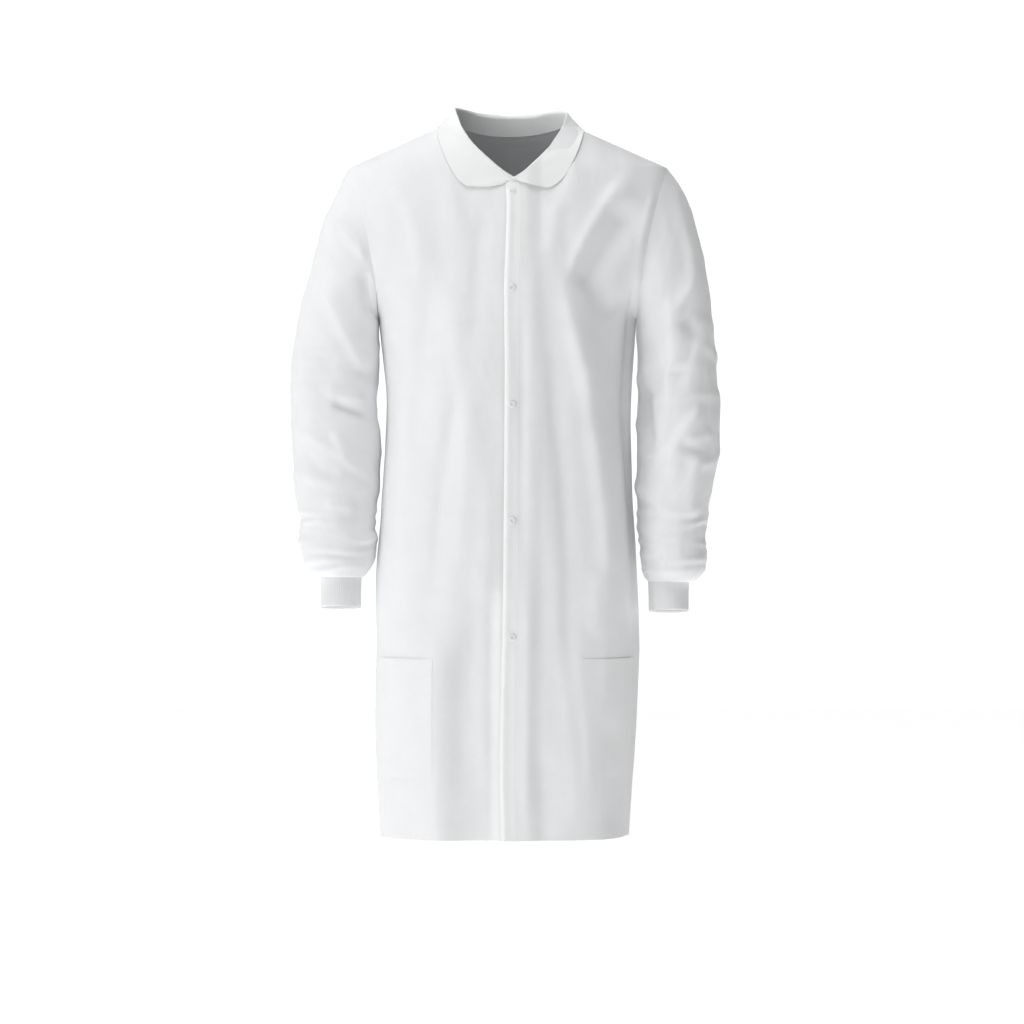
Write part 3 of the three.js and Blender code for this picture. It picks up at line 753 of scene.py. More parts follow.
CREASE = [(-112, -600), (-108, -690), (-106, -759), (-105, -845), (-101, -930), (-98, -1030)]


def terrace(x, z, points, rise, height, fall, depth, side):
    """Cloth that climbs gently to a line and drops beyond it, where it turns from the light."""
    line = curve_through([(float(a), float(b)) for a, b in points], 200)[::-1]
    across = side * (x - np.interp(z, line[:, 1], line[:, 0]))
    climb = height * np.exp(np.clip(across, -400, 0) / rise)
    return np.where(across < 0, climb, height - (height + depth) * smooth(across, -2.0, fall))


def chest_fold_height(x, z):
    begin = smooth(-z, 170, 300) * (1 - 0.45 * smooth(-z, 620, 900))
    return terrace(x, z, CHEST_FOLD, 18.0, 5.0, 70.0, 15.0, 1) * begin


def crease_height(x, z):
    start = 690 + np.clip(-37 - x, -30, 80) * 0.95
    begin = smooth(-z, start - 30, start + 40)
    step = terrace(x, z, CREASE, 30.0, 8.5, 62.0, 10.0, 1)
    return step * begin * smooth(-x, 8.0, 26.0)


def lap_forward(x):
    return LAP_OFFSET * (1 - smooth(np.abs(x), 25.0, 50.0))


def strokes_on(x, z, folds):
    return sum(stroke(x, z, p, w, h, s) for p, w, h, s in folds)


# %% Make the wearer's left front
COLUMNS = 66
SHARES = np.linspace(0, 1, COLUMNS + 1) ** 1.35


def edge_notes(piece, places, edge_x, sign):
    """Marks the double band and hem, and how far each place is from the nearest row of stitches."""
    x, z = places[..., 0], places[..., 2]
    from_edge = sign * (x - edge_x(np.clip(z, HEM_Z, FRONT_TOP_Z)))
    from_hem = z - HEM_Z
    band = BAND_WHITENESS * (1 - smooth(from_edge, BAND - 1.2, BAND + 1.2))
    hem = HEM_WHITENESS * (1 - smooth(from_hem, HEM_FOLD - 1.5, HEM_FOLD + 1.5))
    double = np.maximum(band, hem)
    stitch = np.minimum(np.abs(from_edge - BAND + 2.5), np.abs(from_hem - HEM_STITCH))
    note_on(piece, "double_cloth", double)
    note_on(piece, "stitch_mm", stitch)


def rolled_edge(from_edge):
    """The folded edge is soft: it swells a little and turns in."""
    swell = np.exp(-(((from_edge - 5.0) / 5.5) ** 2))
    return 1.6 * swell - 2.4 * np.exp(-((from_edge / 2.4) ** 2))


left_places = front_panel(1, left_edge_x, SHARES)
left_normals = normals_of(left_places)
lx, lz = left_places[..., 0].copy(), left_places[..., 2].copy()
from_edge = lx - left_edge_x(np.clip(lz, HEM_Z, FRONT_TOP_Z))
quiet = smooth(from_edge, 4.0, 30.0)
lift = LEFT_FOLDS_DEPTH * strokes_on(lx, lz, LEFT_FRONT_FOLDS) + chest_fold_height(lx, lz)
lift += rolled_edge(from_edge) * smooth(-lz, 96.0, 110.0)
lift += ripple(lx, lz, 11, 80.0, 300.0, 0.6) * quiet
lift += ripple(lx, lz, 12, 26.0, 60.0, 0.12)
at_seams = smooth(1 - SHARES, 0.0, 0.09)[:, None]
at_top = smooth(np.linspace(1, 0, LOW_ROWS + HIGH_ROWS + 1), 0.0, 0.04)[None, :]
left_front_places = left_places + left_normals * (lift * at_seams * at_top)[..., None]
left_front_places[..., 1] -= lap_forward(lx) * smooth(-lz, 60.0, 95.0)
left_front = lay_cloth("left_front", left_front_places, (210.0, 1010.0), from_axis, shares=SHARES)
edge_notes(left_front, left_places, left_edge_x, 1)
thicken(left_front, CLOTH)
left_front.data.materials.append(nonwoven)

# %% Make the wearer's right front
right_places = front_panel(-1, right_edge_x, SHARES)
right_normals = normals_of(right_places)
rx, rz = right_places[..., 0].copy(), right_places[..., 2].copy()
lift = RIGHT_FOLDS_DEPTH * strokes_on(rx, rz, RIGHT_FRONT_FOLDS) + crease_height(rx, rz)
lift += ripple(rx, rz, 21, 80.0, 300.0, 0.6)
lift += ripple(rx, rz, 22, 26.0, 60.0, 0.12)
lift *= smooth(-rx, -14.0, 14.0)
right_front_places = right_places + right_normals * (lift * at_seams * at_top)[..., None]
right_front = lay_cloth(
    "right_front", right_front_places, (225.0, 1010.0), from_axis, shares=SHARES
)
edge_notes(right_front, right_places, right_edge_x, -1)
thicken(right_front, CLOTH)
right_front.data.materials.append(nonwoven)

# %% [markdown]
# ## The back
#
# One wide panel from side seam to side seam, with a few soft vertical folds that fall from the
# shoulder blades.

# %% Make the back
BACK_FOLDS = [
    ([(-120, -150), (-110, -260), (-100, -420), (-96, -600)], 20, 3.0, 0.2),
    ([(110, -140), (112, -260), (100, -420), (90, -640)], 20, 3.2, -0.1),
    ([(-40, -160), (-30, -340), (-26, -560), (-30, -760)], 18, -2.6, 0.0),
    ([(36, -180), (40, -340), (36, -560), (30, -700)], 18, -2.2, 0.0),
    ([(2, -200), (4, -420), (0, -700), (-4, -1040)], 22, 2.4, 0.0),
    ([(-70, -560), (-74, -760), (-80, -1040)], 20, 3.2, 0.2),
    ([(64, -600), (72, -800), (80, -1040)], 20, 3.4, 0.0),
    ([(-140, -560), (-142, -760), (-136, -1040)], 20, -3.0, 0.0),
    ([(142, -540), (140, -760), (134, -1040)], 20, -2.6, 0.0),
    ([(-172, -290), (-140, -330), (-110, -400)], 15, 2.8, 0.3),
    ([(172, -290), (140, -332), (112, -404)], 15, 2.6, 0.3),
    ([(-180, -80), (-140, -150), (-120, -230)], 17, 2.6, 0.0),
    ([(182, -82), (144, -150), (118, -236)], 17, 2.4, 0.0),
    ([(-36, -860), (-34, -1040)], 18, -2.8, 0.0), ([(34, -840), (38, -1040)], 18, -2.4, 0.0),
]
BACK_COLUMNS = 132


def back_top(count):
    """Shoulder seam, back of the neck and the other shoulder seam, from right to left."""
    turns = np.linspace(0, math.pi / 2, 40)
    right_neck = [neck_point(turn, -1) for turn in turns]
    left_neck = [neck_point(turn, 1) for turn in turns[::-1]]
    neck = np.array(right_neck + left_neck[1:])
    right = shoulder_edge(-1, 60)[::-1]
    left = shoulder_edge(1, 60)
    return evenly(np.vstack([right, neck[1:-1], left]), count)


def back_panel():
    left, right = side_edge(-1, False), side_edge(1, False)
    wide = [float(half_width(np.array(HEM_Z), np.array(float(s)))) for s in (-1, 1)]
    deep = float(half_depth(np.array(HEM_Z)))
    turns = np.linspace(math.pi, 0, 600)
    hem = np.array([(*oval(t, wide[0] if t > math.pi / 2 else wide[1], deep), HEM_Z) for t in turns])
    return fill_between(left, right, evenly(hem, BACK_COLUMNS + 1), back_top(BACK_COLUMNS + 1))


back_places = back_panel()
back_normals = normals_of(back_places)
bx, bz = back_places[..., 0].copy(), back_places[..., 2].copy()
lift = strokes_on(bx, bz, BACK_FOLDS)
lift += ripple(bx, bz, 31, 80.0, 300.0, 1.0) + ripple(bx, bz, 32, 26.0, 60.0, 0.15)
from_side = np.minimum(np.linspace(0, 1, BACK_COLUMNS + 1), np.linspace(1, 0, BACK_COLUMNS + 1))
from_side = smooth(from_side, 0.0, 0.04)[:, None]
back_final = back_places + back_normals * (lift * from_side * at_top)[..., None]
back = lay_cloth("back", back_final, (420.0, 1010.0), from_axis)
note_on(back, "double_cloth", 1 - smooth(bz - HEM_Z, HEM_FOLD - 1.5, HEM_FOLD + 1.5))
note_on(back, "stitch_mm", np.abs(bz - HEM_Z - HEM_STITCH))
thicken(back, CLOTH)
back.data.materials.append(nonwoven)

# %% [markdown]
# ## The collar
#
# The collar is one folded strip: it stands up from the neck seam, rolls over and falls onto the
# shoulders. The stand is tall behind and almost nothing in front, so the roll dips into a V. It is
# made as two halves that meet at the middle of the back, because each half turns back with its
# front. A section across the strip is drawn at each place round the neck, and the grid is laid
# through the sections.

# %% Roll line and leaf of the collar
ROLL_RADIUS = 3.2
LEAF_SIDES = {1: 107.0, -1: 101.0}
LEAF_FRONT = 93.3
LEAF_BACK = 78.0
LEAF_TIP_X = 57.0
LEAF_ABOVE = 1.4
LEAF_OUT = 1.2
ROLL_LINES = {
    1: [
        (8.5, -92.5, -88.0), (17, -90, -81), (28.6, -86, -71.6), (45.4, -78, -54.6),
        (60.8, -64, -37.6), (73.5, -42, -16.0), (81, -20, 2.0), (83.5, 0, 12.0),
        (79, 17, 15.5), (62, 38, 16.5), (29, 53, 12.6), (0, 56, 11.2),
    ],
    -1: [
        (-11, -89.5, -89.5), (6, -88.5, -78), (21.2, -86, -65.2), (45.4, -76, -41.6),
        (58, -64, -25.5), (66.4, -50, -11.0), (71.5, -33, 4.0), (74.5, -14, 15.0),
        (73.5, 4, 18.5), (56.4, 38, 18.0), (30, 52, 13.6), (0, 56, 11.2),
    ],
}
COLLAR_ENDS = {1: -math.radians(90.4), -1: -math.radians(94)}


def leaf_edge(angle, side):
    wide = LEAF_SIDES[side]
    if angle < 0:
        last = math.acos((LEAF_TIP_X / wide) ** 2)
        x, y = oval(angle * last / -COLLAR_ENDS[side], wide, LEAF_FRONT, 4.0)
    else:
        x, y = oval(angle, wide, LEAF_BACK)
    out = np.array([x, y, 0.0]) / math.hypot(x, y)
    return np.array([x, y, surface_z(x, y) + LEAF_ABOVE]) + LEAF_OUT * out


def collar_lines(side, count):
    """The foot, roll line and leaf edge, each at count equal steps from the front to the back."""
    turns = np.linspace(COLLAR_ENDS[side], math.pi / 2, 300)
    foot = np.array([neck_point(turn, side) * (side, 1, 1) for turn in turns])
    leaf = np.array([leaf_edge(turn, side) for turn in turns])
    roll = curve_through(ROLL_LINES[side], count)
    return evenly(foot, count), roll, evenly(leaf, count)


def unit(vector):
    return vector / np.linalg.norm(vector)


def collar_section(foot, top, edge, end_share, count):
    """One section: up the stand, round the roll and down the leaf. end_share is 1 at the front."""
    outward = unit(np.array([foot[0], foot[1], 0.0]))
    foot = foot - 1.0 * outward - (0, 0, 1.5)
    rise = unit(top - foot)
    fall = unit(edge - top)
    across = unit(np.cross(rise, fall))
    leafward = np.cross(across, rise)
    radius = min(ROLL_RADIUS, 0.22 * np.linalg.norm(top - foot))
    roll = [
        top + radius * (1 - math.cos(turn)) * leafward + radius * (math.sin(turn) - 1) * rise
        for turn in (0, 0.8, 1.6)
    ]
    bulge = np.cross(across, fall)
    middle = 0.55 * roll[2] + 0.45 * edge - (2.6 + 0.6 * end_share) * bulge
    low = 0.2 * roll[2] + 0.8 * edge - 1.1 * bulge
    middle[2] -= 3.6 * end_share
    low[2] -= 1.8 * end_share
    return curve_through([foot, *roll, middle, low, edge], count)


# %% Lay both halves of the collar
COLLAR_ROUND = 110
COLLAR_ACROSS = 44
COLLAR_PLIES = 0.8


def collar_half(name, side):
    feet, rolls, edges = collar_lines(side, COLLAR_ROUND + 1)
    ends = 1 - smooth(np.linspace(0, 1, COLLAR_ROUND + 1), 0, 0.16)
    places = np.array(
        [collar_section(*line, COLLAR_ACROSS + 1) for line in zip(feet, rolls, edges, ends)]
    )
    share = np.linspace(0, 1, COLLAR_ACROSS + 1)[None, :] * np.ones((COLLAR_ROUND + 1, 1))
    along = np.linspace(0, 1, COLLAR_ROUND + 1)[:, None] * np.ones((1, COLLAR_ACROSS + 1))
    normal = np.cross(np.gradient(places, axis=0), np.gradient(places, axis=1))
    normal /= np.linalg.norm(normal, axis=-1, keepdims=True)
    wave = ripple(along * 260, share * 60, 41 + side, 60.0, 50.0, 0.35)
    wave *= smooth(along, 0, 0.1) * smooth(1 - along, 0, 0.1) * smooth(share, 0.3, 0.6)
    places = places + normal * wave[..., None]
    if side > 0:
        places[..., 1] -= lap_forward(places[..., 0]) * smooth(-places[..., 1], 40, 80)
    places[..., 0] *= side
    piece = lay_cloth(name, places, (270.0, 82.0), from_axis)
    rim = np.minimum((1 - share) * 62, along * 250)
    note_on(piece, "double_cloth", np.ones(share.shape))
    note_on(piece, "stitch_mm", np.abs(rim - 5.0))
    thicken(piece, COLLAR_PLIES, 1.0)
    piece.data.materials.append(nonwoven)
    return piece


left_collar = collar_half("left_collar", 1)
right_collar = collar_half("right_collar", -1)

# %% [markdown]
# A narrow tape covers the seam at the back of the neck, on the inside.

# %% Lay the neck tape
def tape_places(columns, rows):
    turns = np.linspace(math.radians(-54), math.radians(54), columns + 1)
    table = []
    for turn in turns:
        seam = neck_point(math.pi / 2 - abs(turn), 1 if turn < 0 else -1)
        z = np.linspace(seam[2] - 16.5, seam[2] - 3.5, rows + 1)
        y = -front_y(np.full(z.shape, seam[0]), z) - 1.9
        table.append(np.stack([np.full(z.shape, seam[0]), y, z], axis=1))
    return np.array(table)


tape = lay_cloth("back_neck_tape", tape_places(60, 6), (150.0, 13.0), lambda p: -1 * from_axis(p))
thicken(tape, 0.6)
tape.data.materials.append(twill_tape)

# %% [markdown]
# ## Sleeves
#
# A sleeve is a grid rolled into a tube. Its two edges seen from the front are drawn as curves, from
# the armhole to the cuff, and each ring of the tube spans them. The cloth blouses over the cuff, so
# it gathers in level wrinkles above the wrist, and it breaks into slanting folds at the elbow.

# %% Edges of the sleeves
SLEEVE_OUTER = {
    1: [
        (228, -67), (249, -97), (265, -140), (276, -183), (285, -226), (291, -280), (296, -345),
        (301, -400), (302, -440), (299, -490), (289, -535), (283, -569), (281, -598), (283, -622),
        (279, -643), (266, -656), (257, -654),
    ],
    -1: [
        (228, -67), (243, -97), (263, -140), (276, -183), (287, -226), (298, -272), (307, -325),
        (310.5, -375), (308.5, -440), (306, -500), (302, -545), (295, -572), (297, -600),
        (291, -626), (282, -645), (271, -650), (266, -648),
    ],
}
SLEEVE_INNER = {
    1: [
        (184, -282), (184, -305), (185, -340), (185, -400), (184, -440), (184, -500), (185, -560),
        (188, -600), (190, -625), (194, -648), (199, -656), (201, -654),
    ],
    -1: [
        (184, -282), (184, -305), (184, -340), (185, -400), (181, -450), (182, -485), (187, -540),
        (190, -575), (188, -600), (191, -625), (200, -645), (206, -650), (209, -648),
    ],
}
CUFF_CENTRE = {1: 228.5, -1: 237.5}
CUFF_TOP_Z = {1: -651.0, -1: -646.0}
CUFF_TOP_RADIUS = 29.5
CUFF_END_RADIUS = 28.0
CUFF_LENGTH = 48.0
WRIST_Y = -28.0
SLEEVE_ROWS = 230
SLEEVE_ROUND = 112
HALF_DEPTHS = [(0, 66), (0.12, 66), (0.3, 64), (0.55, 62), (0.85, 54), (0.95, 46), (1.0, 31)]


def sleeve_rings(side):
    """Places [around, along, 3]. Turn 0 is the outer edge and a quarter turn is the front."""
    outer = curve_through(SLEEVE_OUTER[side], SLEEVE_ROWS + 1)
    inner = curve_through(SLEEVE_INNER[side], SLEEVE_ROWS + 1)
    t = np.linspace(0, 1, SLEEVE_ROWS + 1)
    turn = np.linspace(0, 2 * math.pi, SLEEVE_ROUND + 1)[:, None]
    middle = (outer + inner) / 2
    half = (outer - inner) / 2
    deep = np.interp(t, *zip(*HALF_DEPTHS))
    deep = np.convolve(np.pad(deep, 6, mode="edge"), np.ones(13) / 13, mode="valid")
    bow = ARMHOLE_BOW * (1 - smooth(t, 0, 0.35))
    x = middle[:, 0] + half[:, 0] * np.cos(turn) - bow * np.sin(turn) ** 2
    z = middle[:, 1] + half[:, 1] * np.cos(turn)
    y = WRIST_Y * t**2 - deep * np.sin(turn)
    turn = turn * np.ones((1, SLEEVE_ROWS + 1))
    return np.stack([x, y, z], axis=-1), turn, t * np.ones((SLEEVE_ROUND + 1, 1))


print("sleeve cells", SLEEVE_ROUND, "round by", SLEEVE_ROWS, "along")

# %% [markdown]
# The folds on the front of a sleeve are strokes again, and the rear takes those of the other sleeve,
# mirrored. Above the cuff the wrinkles run round the arm, each a little tilted, and swell and fade.

# %% Folds of the sleeves
SLEEVE_FOLDS = {
    1: [
        ([(238, -110), (260, -194), (258, -240), (228, -290)], 12, 3.0, 0.3),
        ([(228, -250), (234, -320), (236, -372)], 12, 2.6, 0.3),
        ([(286, -270), (268, -330), (250, -392)], 12, 2.6, 0.3),
        ([(282, -400), (262, -425), (236, -468), (222, -520)], 12, 2.8, 0.3),
        ([(268, -470), (262, -520), (254, -570)], 12, 2.2, 0.0),
        ([(192, -300), (204, -350), (214, -420)], 11, -2.4, 0.0),
        ([(190, -370), (193, -430), (202, -485)], 12, -6.0, 0.0),
        ([(240, -280), (262, -300), (284, -310)], 12, -1.8, 0.0),
        ([(270, -360), (250, -360), (226, -352)], 10, -1.8, 0.0),
        ([(290, -440), (270, -452), (246, -456)], 9, 1.6, 0.0),
    ],
    -1: [
        ([(-250, -130), (-222, -170), (-192, -206)], 11, 2.8, 0.3),
        ([(-266, -226), (-236, -290), (-198, -364)], 14, 3.0, 0.3),
        ([(-206, -212), (-196, -250), (-188, -290)], 14, -3.4, 0.0),
        ([(-252, -402), (-226, -412), (-192, -424)], 9, -2.8, 0.3),
        ([(-262, -380), (-236, -390), (-200, -396)], 10, 2.2, 0.0),
        ([(-244, -440), (-238, -462), (-226, -482)], 9, 2.2, 0.3),
        ([(-290, -300), (-284, -380), (-276, -450)], 16, 1.6, 0.0),
        ([(-262, -546), (-236, -548), (-212, -552)], 8, 2.2, 0.0),
        ([(-286, -470), (-262, -500), (-236, -512)], 12, -1.8, 0.0),
        ([(-296, -330), (-270, -340), (-240, -352)], 12, -1.4, 0.0),
    ],
}


FRONT_FOLDS_DEPTH = 2.0
REAR_FOLDS_DEPTH = 1.6


def wrist_wrinkles(turn, z, seed):
    """Level wrinkles above the cuff, from about 110 mm up."""
    rng = np.random.default_rng(seed)
    total = np.zeros(z.shape)
    for centre in np.linspace(-560, -640, 7):
        tilt = rng.uniform(-5, 5, 3)
        phase = rng.uniform(0, 2 * math.pi, 4)
        line = centre + tilt[0] * np.sin(turn + phase[0]) + tilt[1] * np.sin(2 * turn + phase[1])
        line = line + 0.5 * tilt[2] * np.sin(3 * turn + phase[2])
        strength = 0.55 + 0.45 * np.sin(2 * turn + phase[3])
        total += 2.3 * strength * np.exp(-(((z - line) / 5.2) ** 2))
    return total


def elbow_wrinkles(turn, z, seed):
    rng = np.random.default_rng(seed)
    total = np.zeros(z.shape)
    for centre in np.linspace(-330, -540, 9):
        slant = rng.uniform(-30, 30)
        phase = rng.uniform(0, 2 * math.pi, 3)
        line = centre + slant * np.cos(turn + phase[0]) + 8 * np.sin(2 * turn + phase[1])
        strength = np.clip(0.15 + 0.85 * np.sin(turn * 1.0 + phase[2]), 0, 1)
        total += 2.7 * strength * np.exp(-(((z - line) / 9.0) ** 2))
    return total


def sleeve_places(side):
    rings, turn, t = sleeve_rings(side)
    normal = np.cross(np.gradient(rings, axis=0), np.gradient(rings, axis=1))
    normal /= np.maximum(np.linalg.norm(normal, axis=-1, keepdims=True), 1e-9)
    elbow = rings[:, SLEEVE_ROWS // 2]
    if (normal[:, SLEEVE_ROWS // 2] * (elbow - elbow.mean(0))).sum() < 0:
        normal = -normal
    x, z = side * rings[..., 0], rings[..., 2]
    in_front = smooth(np.sin(turn), -0.15, 0.35)
    lift = FRONT_FOLDS_DEPTH * strokes_on(x, z, SLEEVE_FOLDS[side]) * in_front
    behind = [([(-p[0], p[1]) for p in points], w, h, s) for points, w, h, s in SLEEVE_FOLDS[-side]]
    lift += REAR_FOLDS_DEPTH * strokes_on(x, z, behind) * (1 - in_front)
    lift += wrist_wrinkles(turn, z, 51 + side) + elbow_wrinkles(turn, z, 61 + side)
    around = turn / (2 * math.pi) * 340
    for k in (-340, 0):
        weight = turn / (2 * math.pi) if k else 1 - turn / (2 * math.pi)
        lift += weight * ripple(around + k, z, 71 + side, 60.0, 90.0, 0.9)
        lift += weight * ripple(around + k, z, 81 + side, 20.0, 26.0, 0.3)
    lift *= smooth(t, 0.0, 0.05) * smooth(1 - t, 0.0, 0.03)
    places = rings + normal * lift[..., None]
    places[-1] = places[0]
    places[..., 0] *= side
    return places


def arm_axis(side):
    centre = 0.24 * side

    def outward(point):
        return point.__class__((point.x - centre, point.y, 0.0))

    return outward


# %% Lay both sleeves
def make_sleeve(name, side):
    places = sleeve_places(side)
    piece = lay_cloth(name, places, (345.0, 560.0), arm_axis(side), closed=True)
    t = np.ones((SLEEVE_ROUND + 1, 1)) * np.linspace(0, 600, SLEEVE_ROWS + 1)[None, :]
    note_on(piece, "double_cloth", np.zeros(t.shape))
    note_on(piece, "stitch_mm", np.minimum(t, 600 - t))
    thicken(piece, CLOTH)
    piece.data.materials.append(nonwoven)
    return piece


left_sleeve = make_sleeve("left_sleeve_cloth", 1)
right_sleeve = make_sleeve("right_sleeve_cloth", -1)

# %% [markdown]
# ## Knitted cuffs
#
# Each cuff is a double tube of rib knit that grips the wrist, with its end folded back inside. A
# grid is rolled into a tube, its columns standing up as ribs, and the profile turns in at the end.

# %% Knit the cuffs
RIBS = 68


def make_cuff(name, side):
    around, along = RIBS * 5, 30
    turn = np.linspace(0, 2 * math.pi, around + 1)[:, None]
    profile = curve_through(
        [
            (CUFF_TOP_RADIUS - 0.5, 3.0), (CUFF_TOP_RADIUS, -1.0), (CUFF_TOP_RADIUS - 0.6, -10.0),
            (CUFF_END_RADIUS + 0.3, -30.0), (CUFF_END_RADIUS + 0.2, -CUFF_LENGTH + 3),
            (CUFF_END_RADIUS - 0.6, -CUFF_LENGTH), (CUFF_END_RADIUS - 1.8, -CUFF_LENGTH + 1.5),
            (CUFF_END_RADIUS - 2.0, -CUFF_LENGTH + 12),
        ],
        along + 1,
    )
    rib = 0.24 * np.sin(RIBS * turn) * np.ones((1, along + 1))
    radius = profile[:, 0][None, :] + rib
    fall = -profile[:, 1][None, :] / CUFF_LENGTH
    x = CUFF_CENTRE[side] + radius * np.cos(turn)
    y = WRIST_Y - 3.5 * fall - radius * np.sin(turn)
    z = CUFF_TOP_Z[side] + profile[:, 1][None, :] + 2.6 * fall * np.sin(turn)
    places = np.stack([side * x, y, z + 0 * x], axis=-1)
    places[-1] = places[0]
    centre = side * CUFF_CENTRE[side] * MM

    def outward(point):
        return point.__class__((point.x - centre, point.y - WRIST_Y * MM, 0.0))

    piece = lay_cloth(name, places, (180.0, 64.0), outward, closed=True)
    thicken(piece, 1.0)
    piece.data.materials.append(rib_knit)
    return piece


left_cuff = make_cuff("left_knit_cuff", 1)
right_cuff = make_cuff("right_knit_cuff", -1)

# %% [markdown]
# ## Hip pockets
#
# A patch pocket is a rectangle sewn on along its sides and bottom, with its top edge folded double.
# It follows the folds of the front below it and gapes a little at the mouth.

# %% Sew on the pockets
POCKET_LOW, POCKET_HIGH = -932.0, -764.0
POCKET_INNER = {1: 103.0, -1: 104.0}


def sampled(table, places, x, z):
    """Values of a grid at the places (x, z), from its nearest crossings."""
    flat = places.reshape(-1, 3)
    tree = mathutils.kdtree.KDTree(len(flat))
    for i, (px, _, pz) in enumerate(flat):
        tree.insert((px, 0.0, pz), i)
    tree.balance()
    values = np.zeros(x.shape)
    rows = table.ravel()
    for i in np.ndindex(x.shape):
        near = tree.find_n((x[i], 0.0, z[i]), 4)
        weight = np.array([1 / (d + 0.05) for _, _, d in near])
        values[i] = (weight * rows[[k for _, k, _ in near]]).sum() / weight.sum()
    return values


POCKET_WIDE, POCKET_TALL = 112.0, 168.0
POCKET_FOLD = 148.0


def pocket_places(side, columns, rows, panel, final):
    z = np.linspace(POCKET_LOW, POCKET_HIGH, rows + 1)
    table = np.zeros((columns + 1, rows + 1, 3))
    for j, height in enumerate(z):
        wide = float(half_width(np.array(height), np.array(float(side))))
        deep = float(half_depth(np.array(height)))
        first = -math.acos((POCKET_INNER[side] / wide) ** (OVAL_POWER / 2))
        for i, turn in enumerate(np.linspace(first, -math.radians(13), columns + 1)):
            x, y = oval(turn, wide, deep)
            table[i, j] = (side * x, y, height)
    normal = normals_of(table)
    below = sampled(((final - panel) * normals_of(panel)).sum(-1), panel, table[..., 0], table[..., 2])
    u = np.linspace(0, 1, columns + 1)[:, None]
    v = np.linspace(0, 1, rows + 1)[None, :]
    gape = 0.25 * smooth(v, 0.55, 1.0) * np.sin(math.pi * u) ** 0.8
    gape = gape + 0.2 * np.sin(math.pi * u) ** 0.5 * smooth(v, 0, 0.05)
    return table + normal * (below + 0.6 + gape)[..., None]


def make_pocket(name, side, panel, final):
    columns, rows = 40, 64
    places = pocket_places(side, columns, rows, panel, final)
    piece = lay_cloth(name, places, (POCKET_WIDE, POCKET_TALL), from_axis)
    u = np.linspace(0, POCKET_WIDE, columns + 1)[:, None] * np.ones((1, rows + 1))
    v = np.linspace(0, POCKET_TALL, rows + 1)[None, :] * np.ones((columns + 1, 1))
    note_on(piece, "double_cloth", 0.44 + 0.03 * smooth(v, POCKET_FOLD - 1, POCKET_FOLD + 1))
    rows_of_stitches = np.minimum(np.minimum(u, POCKET_WIDE - u), v) - 2.0
    note_on(piece, "stitch_mm", np.minimum(np.abs(rows_of_stitches), np.abs(v - POCKET_FOLD)))
    thicken(piece, 0.4)
    piece.data.materials.append(nonwoven)
    return piece


left_pocket = make_pocket("left_pocket", 1, left_places, left_front_places)
right_pocket = make_pocket("right_pocket", -1, right_places, right_front_places)

# %% [markdown]
# ## Snaps
#
# Each snap has four moulded parts. The cap's post passes through the band and holds the socket
# behind it; the stud stands on the right front, held by a backing behind that. Their sizes and
# places are those of the CAD nodes. Each part is a profile spun about its axis.


# %% Spin one part of a snap
def spin_part(name, centre, profile):
    """profile holds (radius, place along the axis) in mm, from the front of the coat backwards."""
    bm = bmesh.new()
    verts = [bm.verts.new((radius * MM, place * MM, 0)) for radius, place in profile]
    edges = [bm.edges.new(pair) for pair in zip(verts, verts[1:])]
    bmesh.ops.spin(
        bm, geom=verts + edges, cent=(0, 0, 0), axis=(0, 1, 0), angle=2 * math.pi, steps=40,
        use_merge=True,
    )
    bmesh.ops.remove_doubles(bm, verts=bm.verts, dist=1e-6)
    bmesh.ops.recalc_face_normals(bm, faces=bm.faces)
    bmesh.ops.translate(bm, verts=bm.verts, vec=centre)
    mesh = bpy.data.meshes.new(name)
    bm.to_mesh(mesh)
    bm.free()
    mesh.shade_smooth()
    mesh.set_sharp_from_angle(angle=math.radians(40))
    piece = bpy.data.objects.new(name, mesh)
    bpy.context.scene.collection.objects.link(piece)
    piece.data.materials.append(snap_plastic)
    return piece


# %% Make the five snaps
CAP = [
    (0, -1.5), (1.6, -1.6), (2.6, -1.9), (3.4, -2.4), (4.1, -2.3), (4.8, -1.7), (5.25, -0.9),
    (5.3, -0.2), (5.1, 0.0), (1.8, 0.0), (1.8, 0.4), (0, 0.4),
]


def snap_part_profile(node):
    """A profile from the node's own box: its radius and its length along the axis."""
    low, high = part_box(node)
    radius = (high.x - low.x) / 2 / MM
    length = (high.y - low.y) / MM
    if "socket" in node:
        return [
            (2.25, 0), (radius * 0.92, 0), (radius, 0.35), (radius, length - 0.3),
            (radius * 0.9, length), (2.9, length), (2.25, length - 0.4), (2.25, 0),
        ]
    if "stud" in node:
        return [
            (0, 0), (1.3, 0), (1.9, 0.4), (1.75, 1.2), (1.75, length - 0.85), (2.3, length - 0.8),
            (radius * 0.95, length - 0.75), (radius, length - 0.5), (radius, length), (0, length),
        ]
    return [(0, 0), (radius, 0), (radius, length * 0.55), (radius * 0.9, length), (0, length)]


snap_parts = {"left_front": [], "right_front": []}
for number in range(1, 6):
    for part in ("cap", "socket", "stud", "backing"):
        node = f"snap_{number}_{part}"
        low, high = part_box(node)
        centre = (low + high) / 2
        if part == "cap":
            centre.y = high.y
            profile = CAP
        else:
            centre.y = low.y
            profile = snap_part_profile(node)
        piece = spin_part(f"snap_{number}_{part}_moulded", centre, profile)
        body = "left_front" if part in ("cap", "socket") else "right_front"
        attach(piece, body)
        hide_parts(node)
        snap_parts[body].append(piece)
print("snap parts", len(snap_parts["left_front"]) + len(snap_parts["right_front"]))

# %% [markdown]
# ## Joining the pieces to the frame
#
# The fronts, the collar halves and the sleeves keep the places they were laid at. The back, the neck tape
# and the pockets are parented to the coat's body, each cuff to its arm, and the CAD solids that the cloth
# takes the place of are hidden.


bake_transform(left_front)
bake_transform(left_collar)
